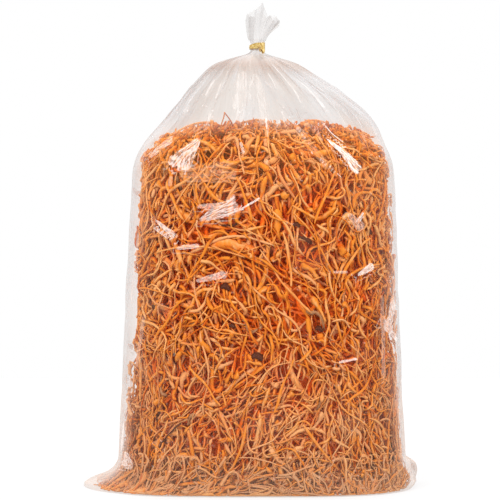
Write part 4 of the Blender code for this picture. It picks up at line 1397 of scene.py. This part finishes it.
# ---- The stage --------------------------------------------------------------
# Each light: place, the point it faces, width, height, and brightness in watts
LIGHTS = {
    "key": ((-0.75, -1.05, 0.85), (0, 0, 0.15), 0.32, 0.42, 14.4),
    "second": ((0.85, -0.95, 0.70), (0, 0, 0.15), 0.26, 0.42, 10.0),
    "overhead": ((0.05, -0.10, 1.15), (0, 0, 0.10), 0.70, 0.50, 7.0),
    "behind_left": ((-0.80, 1.10, 0.80), (0, 0, 0.15), 0.40, 0.50, 9.0),
    "behind_right": ((0.80, 1.10, 0.80), (0, 0, 0.15), 0.40, 0.50, 9.0),
}
SENSOR_WIDTH = 0.036
FLOOR_SIZE, FLOOR_HEIGHT = 1.8, -0.0002
FLOOR_GREYS, FLOOR_GLOW = ((0.13,) * 3, (0.11,) * 3), 0.75
MIRRORED_DIM, MIRRORED_GAIN, MIRRORED_FROM, MIRRORED_TO = 0.42, 0.50, -0.95, -0.15
WHITE = (1.0, 1.0, 1.0, 1.0)


def aim(thing, target):
    thing.rotation_mode = "QUATERNION"
    thing.rotation_quaternion = (Vector(target) - thing.location).to_track_quat("-Z", "Y")


def studio_world(settings):
    """White behind the bag and dim behind the camera, as in a studio with a white backdrop."""
    look = Look(bpy.data.worlds.new("studio"))
    ahead = look.wire("SeparateXYZ", None, {0: look.add("TexCoord")["Generated"]}, "Y")
    rays = look.add("LightPath")
    camera, glossy = Wire(look, rays["Is Camera Ray"]), Wire(look, rays["Is Glossy Ray"])
    mirrored = MIRRORED_DIM + ahead.over(MIRRORED_FROM, MIRRORED_TO) * MIRRORED_GAIN
    lit = settings.fill * (1 - glossy) + mirrored * glossy
    strength = camera + (1 - camera) * lit
    return look.finish(look.add("Background", None, {"Strength": strength, "Color": WHITE})[0])


def floor_look():
    """Pale grey that glows a little, so that it comes out white."""
    look = Look(bpy.data.materials.new("pale_floor"))
    return look.finish(look.surface({
        "Base Color": look.blend(look.noise(40.0) * 0.3, *FLOOR_GREYS),
        "Roughness": 0.8,
        "Emission Color": WHITE,
        "Emission Strength": FLOOR_GLOW,
    }))


class CORDYCEPS_OT_set_stage(bpy.types.Operator):
    """Add the pale floor, the soft lights and the camera"""

    bl_idname = "cordyceps.set_stage"
    bl_label = "Set the stage"

    def execute(self, context):
        scene, settings = context.scene, context.scene.cordyceps_stage
        deselect_all()
        bpy.ops.mesh.primitive_plane_add(size=FLOOR_SIZE, location=(0, 0, FLOOR_HEIGHT))
        floor = context.object
        floor.name = "floor"
        floor.data.materials.append(floor_look())
        for name, (place, target, width, height, power) in LIGHTS.items():
            light = bpy.data.lights.new(name, "AREA")
            light.shape, light.size, light.size_y, light.energy = "RECTANGLE", width, height, power
            lamp = bpy.data.objects.new(name, light)
            lamp.location = place
            # the lamps show in no reflections: the film's highlights are painted on its creases
            lamp.visible_glossy = False
            aim(lamp, target)
            scene.collection.objects.link(lamp)
        scene.world = studio_world(settings)
        lens = bpy.data.cameras.new("camera")
        lens.sensor_width = SENSOR_WIDTH * 1000
        lens.lens = SENSOR_WIDTH * 1000 * settings.camera_distance / settings.view_width
        camera = bpy.data.objects.new("camera", lens)
        camera.location = (0, -settings.camera_distance, settings.camera_height)
        aim(camera, (0, 0, settings.camera_height))
        scene.collection.objects.link(camera)
        scene.camera = camera
        scene.view_settings.view_transform = "Standard"
        scene.cycles.transparent_max_bounces = 24
        scene.cycles.max_bounces = 10
        return {"FINISHED"}


# ---- The add-on -------------------------------------------------------------
# The settings of each step, by the name they have in the scene, and its operators
STEPS = {
    "cordyceps_clubs": (ClubSettings, CORDYCEPS_OT_lay_clubs, CORDYCEPS_OT_dress_outer_clubs),
    "cordyceps_film": (FilmSettings, CORDYCEPS_OT_make_film),
    "cordyceps_tie": (TieSettings, CORDYCEPS_OT_make_tie),
    "cordyceps_stage": (StageSettings, CORDYCEPS_OT_set_stage),
}


class CORDYCEPS_PT_bag(bpy.types.Panel):
    """The steps that make the bag of dried cordyceps"""

    bl_label = "Bag of dried cordyceps"
    bl_space_type = "VIEW_3D"
    bl_region_type = "UI"
    bl_category = "Cordyceps"

    def draw(self, context):
        for name, (group, *operators) in STEPS.items():
            box = self.layout.box()
            for setting in group.__annotations__:
                box.prop(getattr(context.scene, name), setting)
            for operator in operators:
                box.operator(operator.bl_idname)


CLASSES = [*(made for step in STEPS.values() for made in step), CORDYCEPS_PT_bag]


def register():
    for made in CLASSES:
        bpy.utils.register_class(made)
    for name, (group, *_) in STEPS.items():
        setattr(bpy.types.Scene, name, PointerProperty(type=group))


def unregister():
    for name in STEPS:
        delattr(bpy.types.Scene, name)
    for made in reversed(CLASSES):
        bpy.utils.unregister_class(made)


def main():
    register()
    bpy.ops.cordyceps.lay_clubs()
    bpy.ops.cordyceps.dress_outer_clubs()
    bpy.ops.cordyceps.make_film()
    bpy.ops.cordyceps.make_tie()
    bpy.ops.cordyceps.set_stage()


if __name__ == "__main__":
    main()
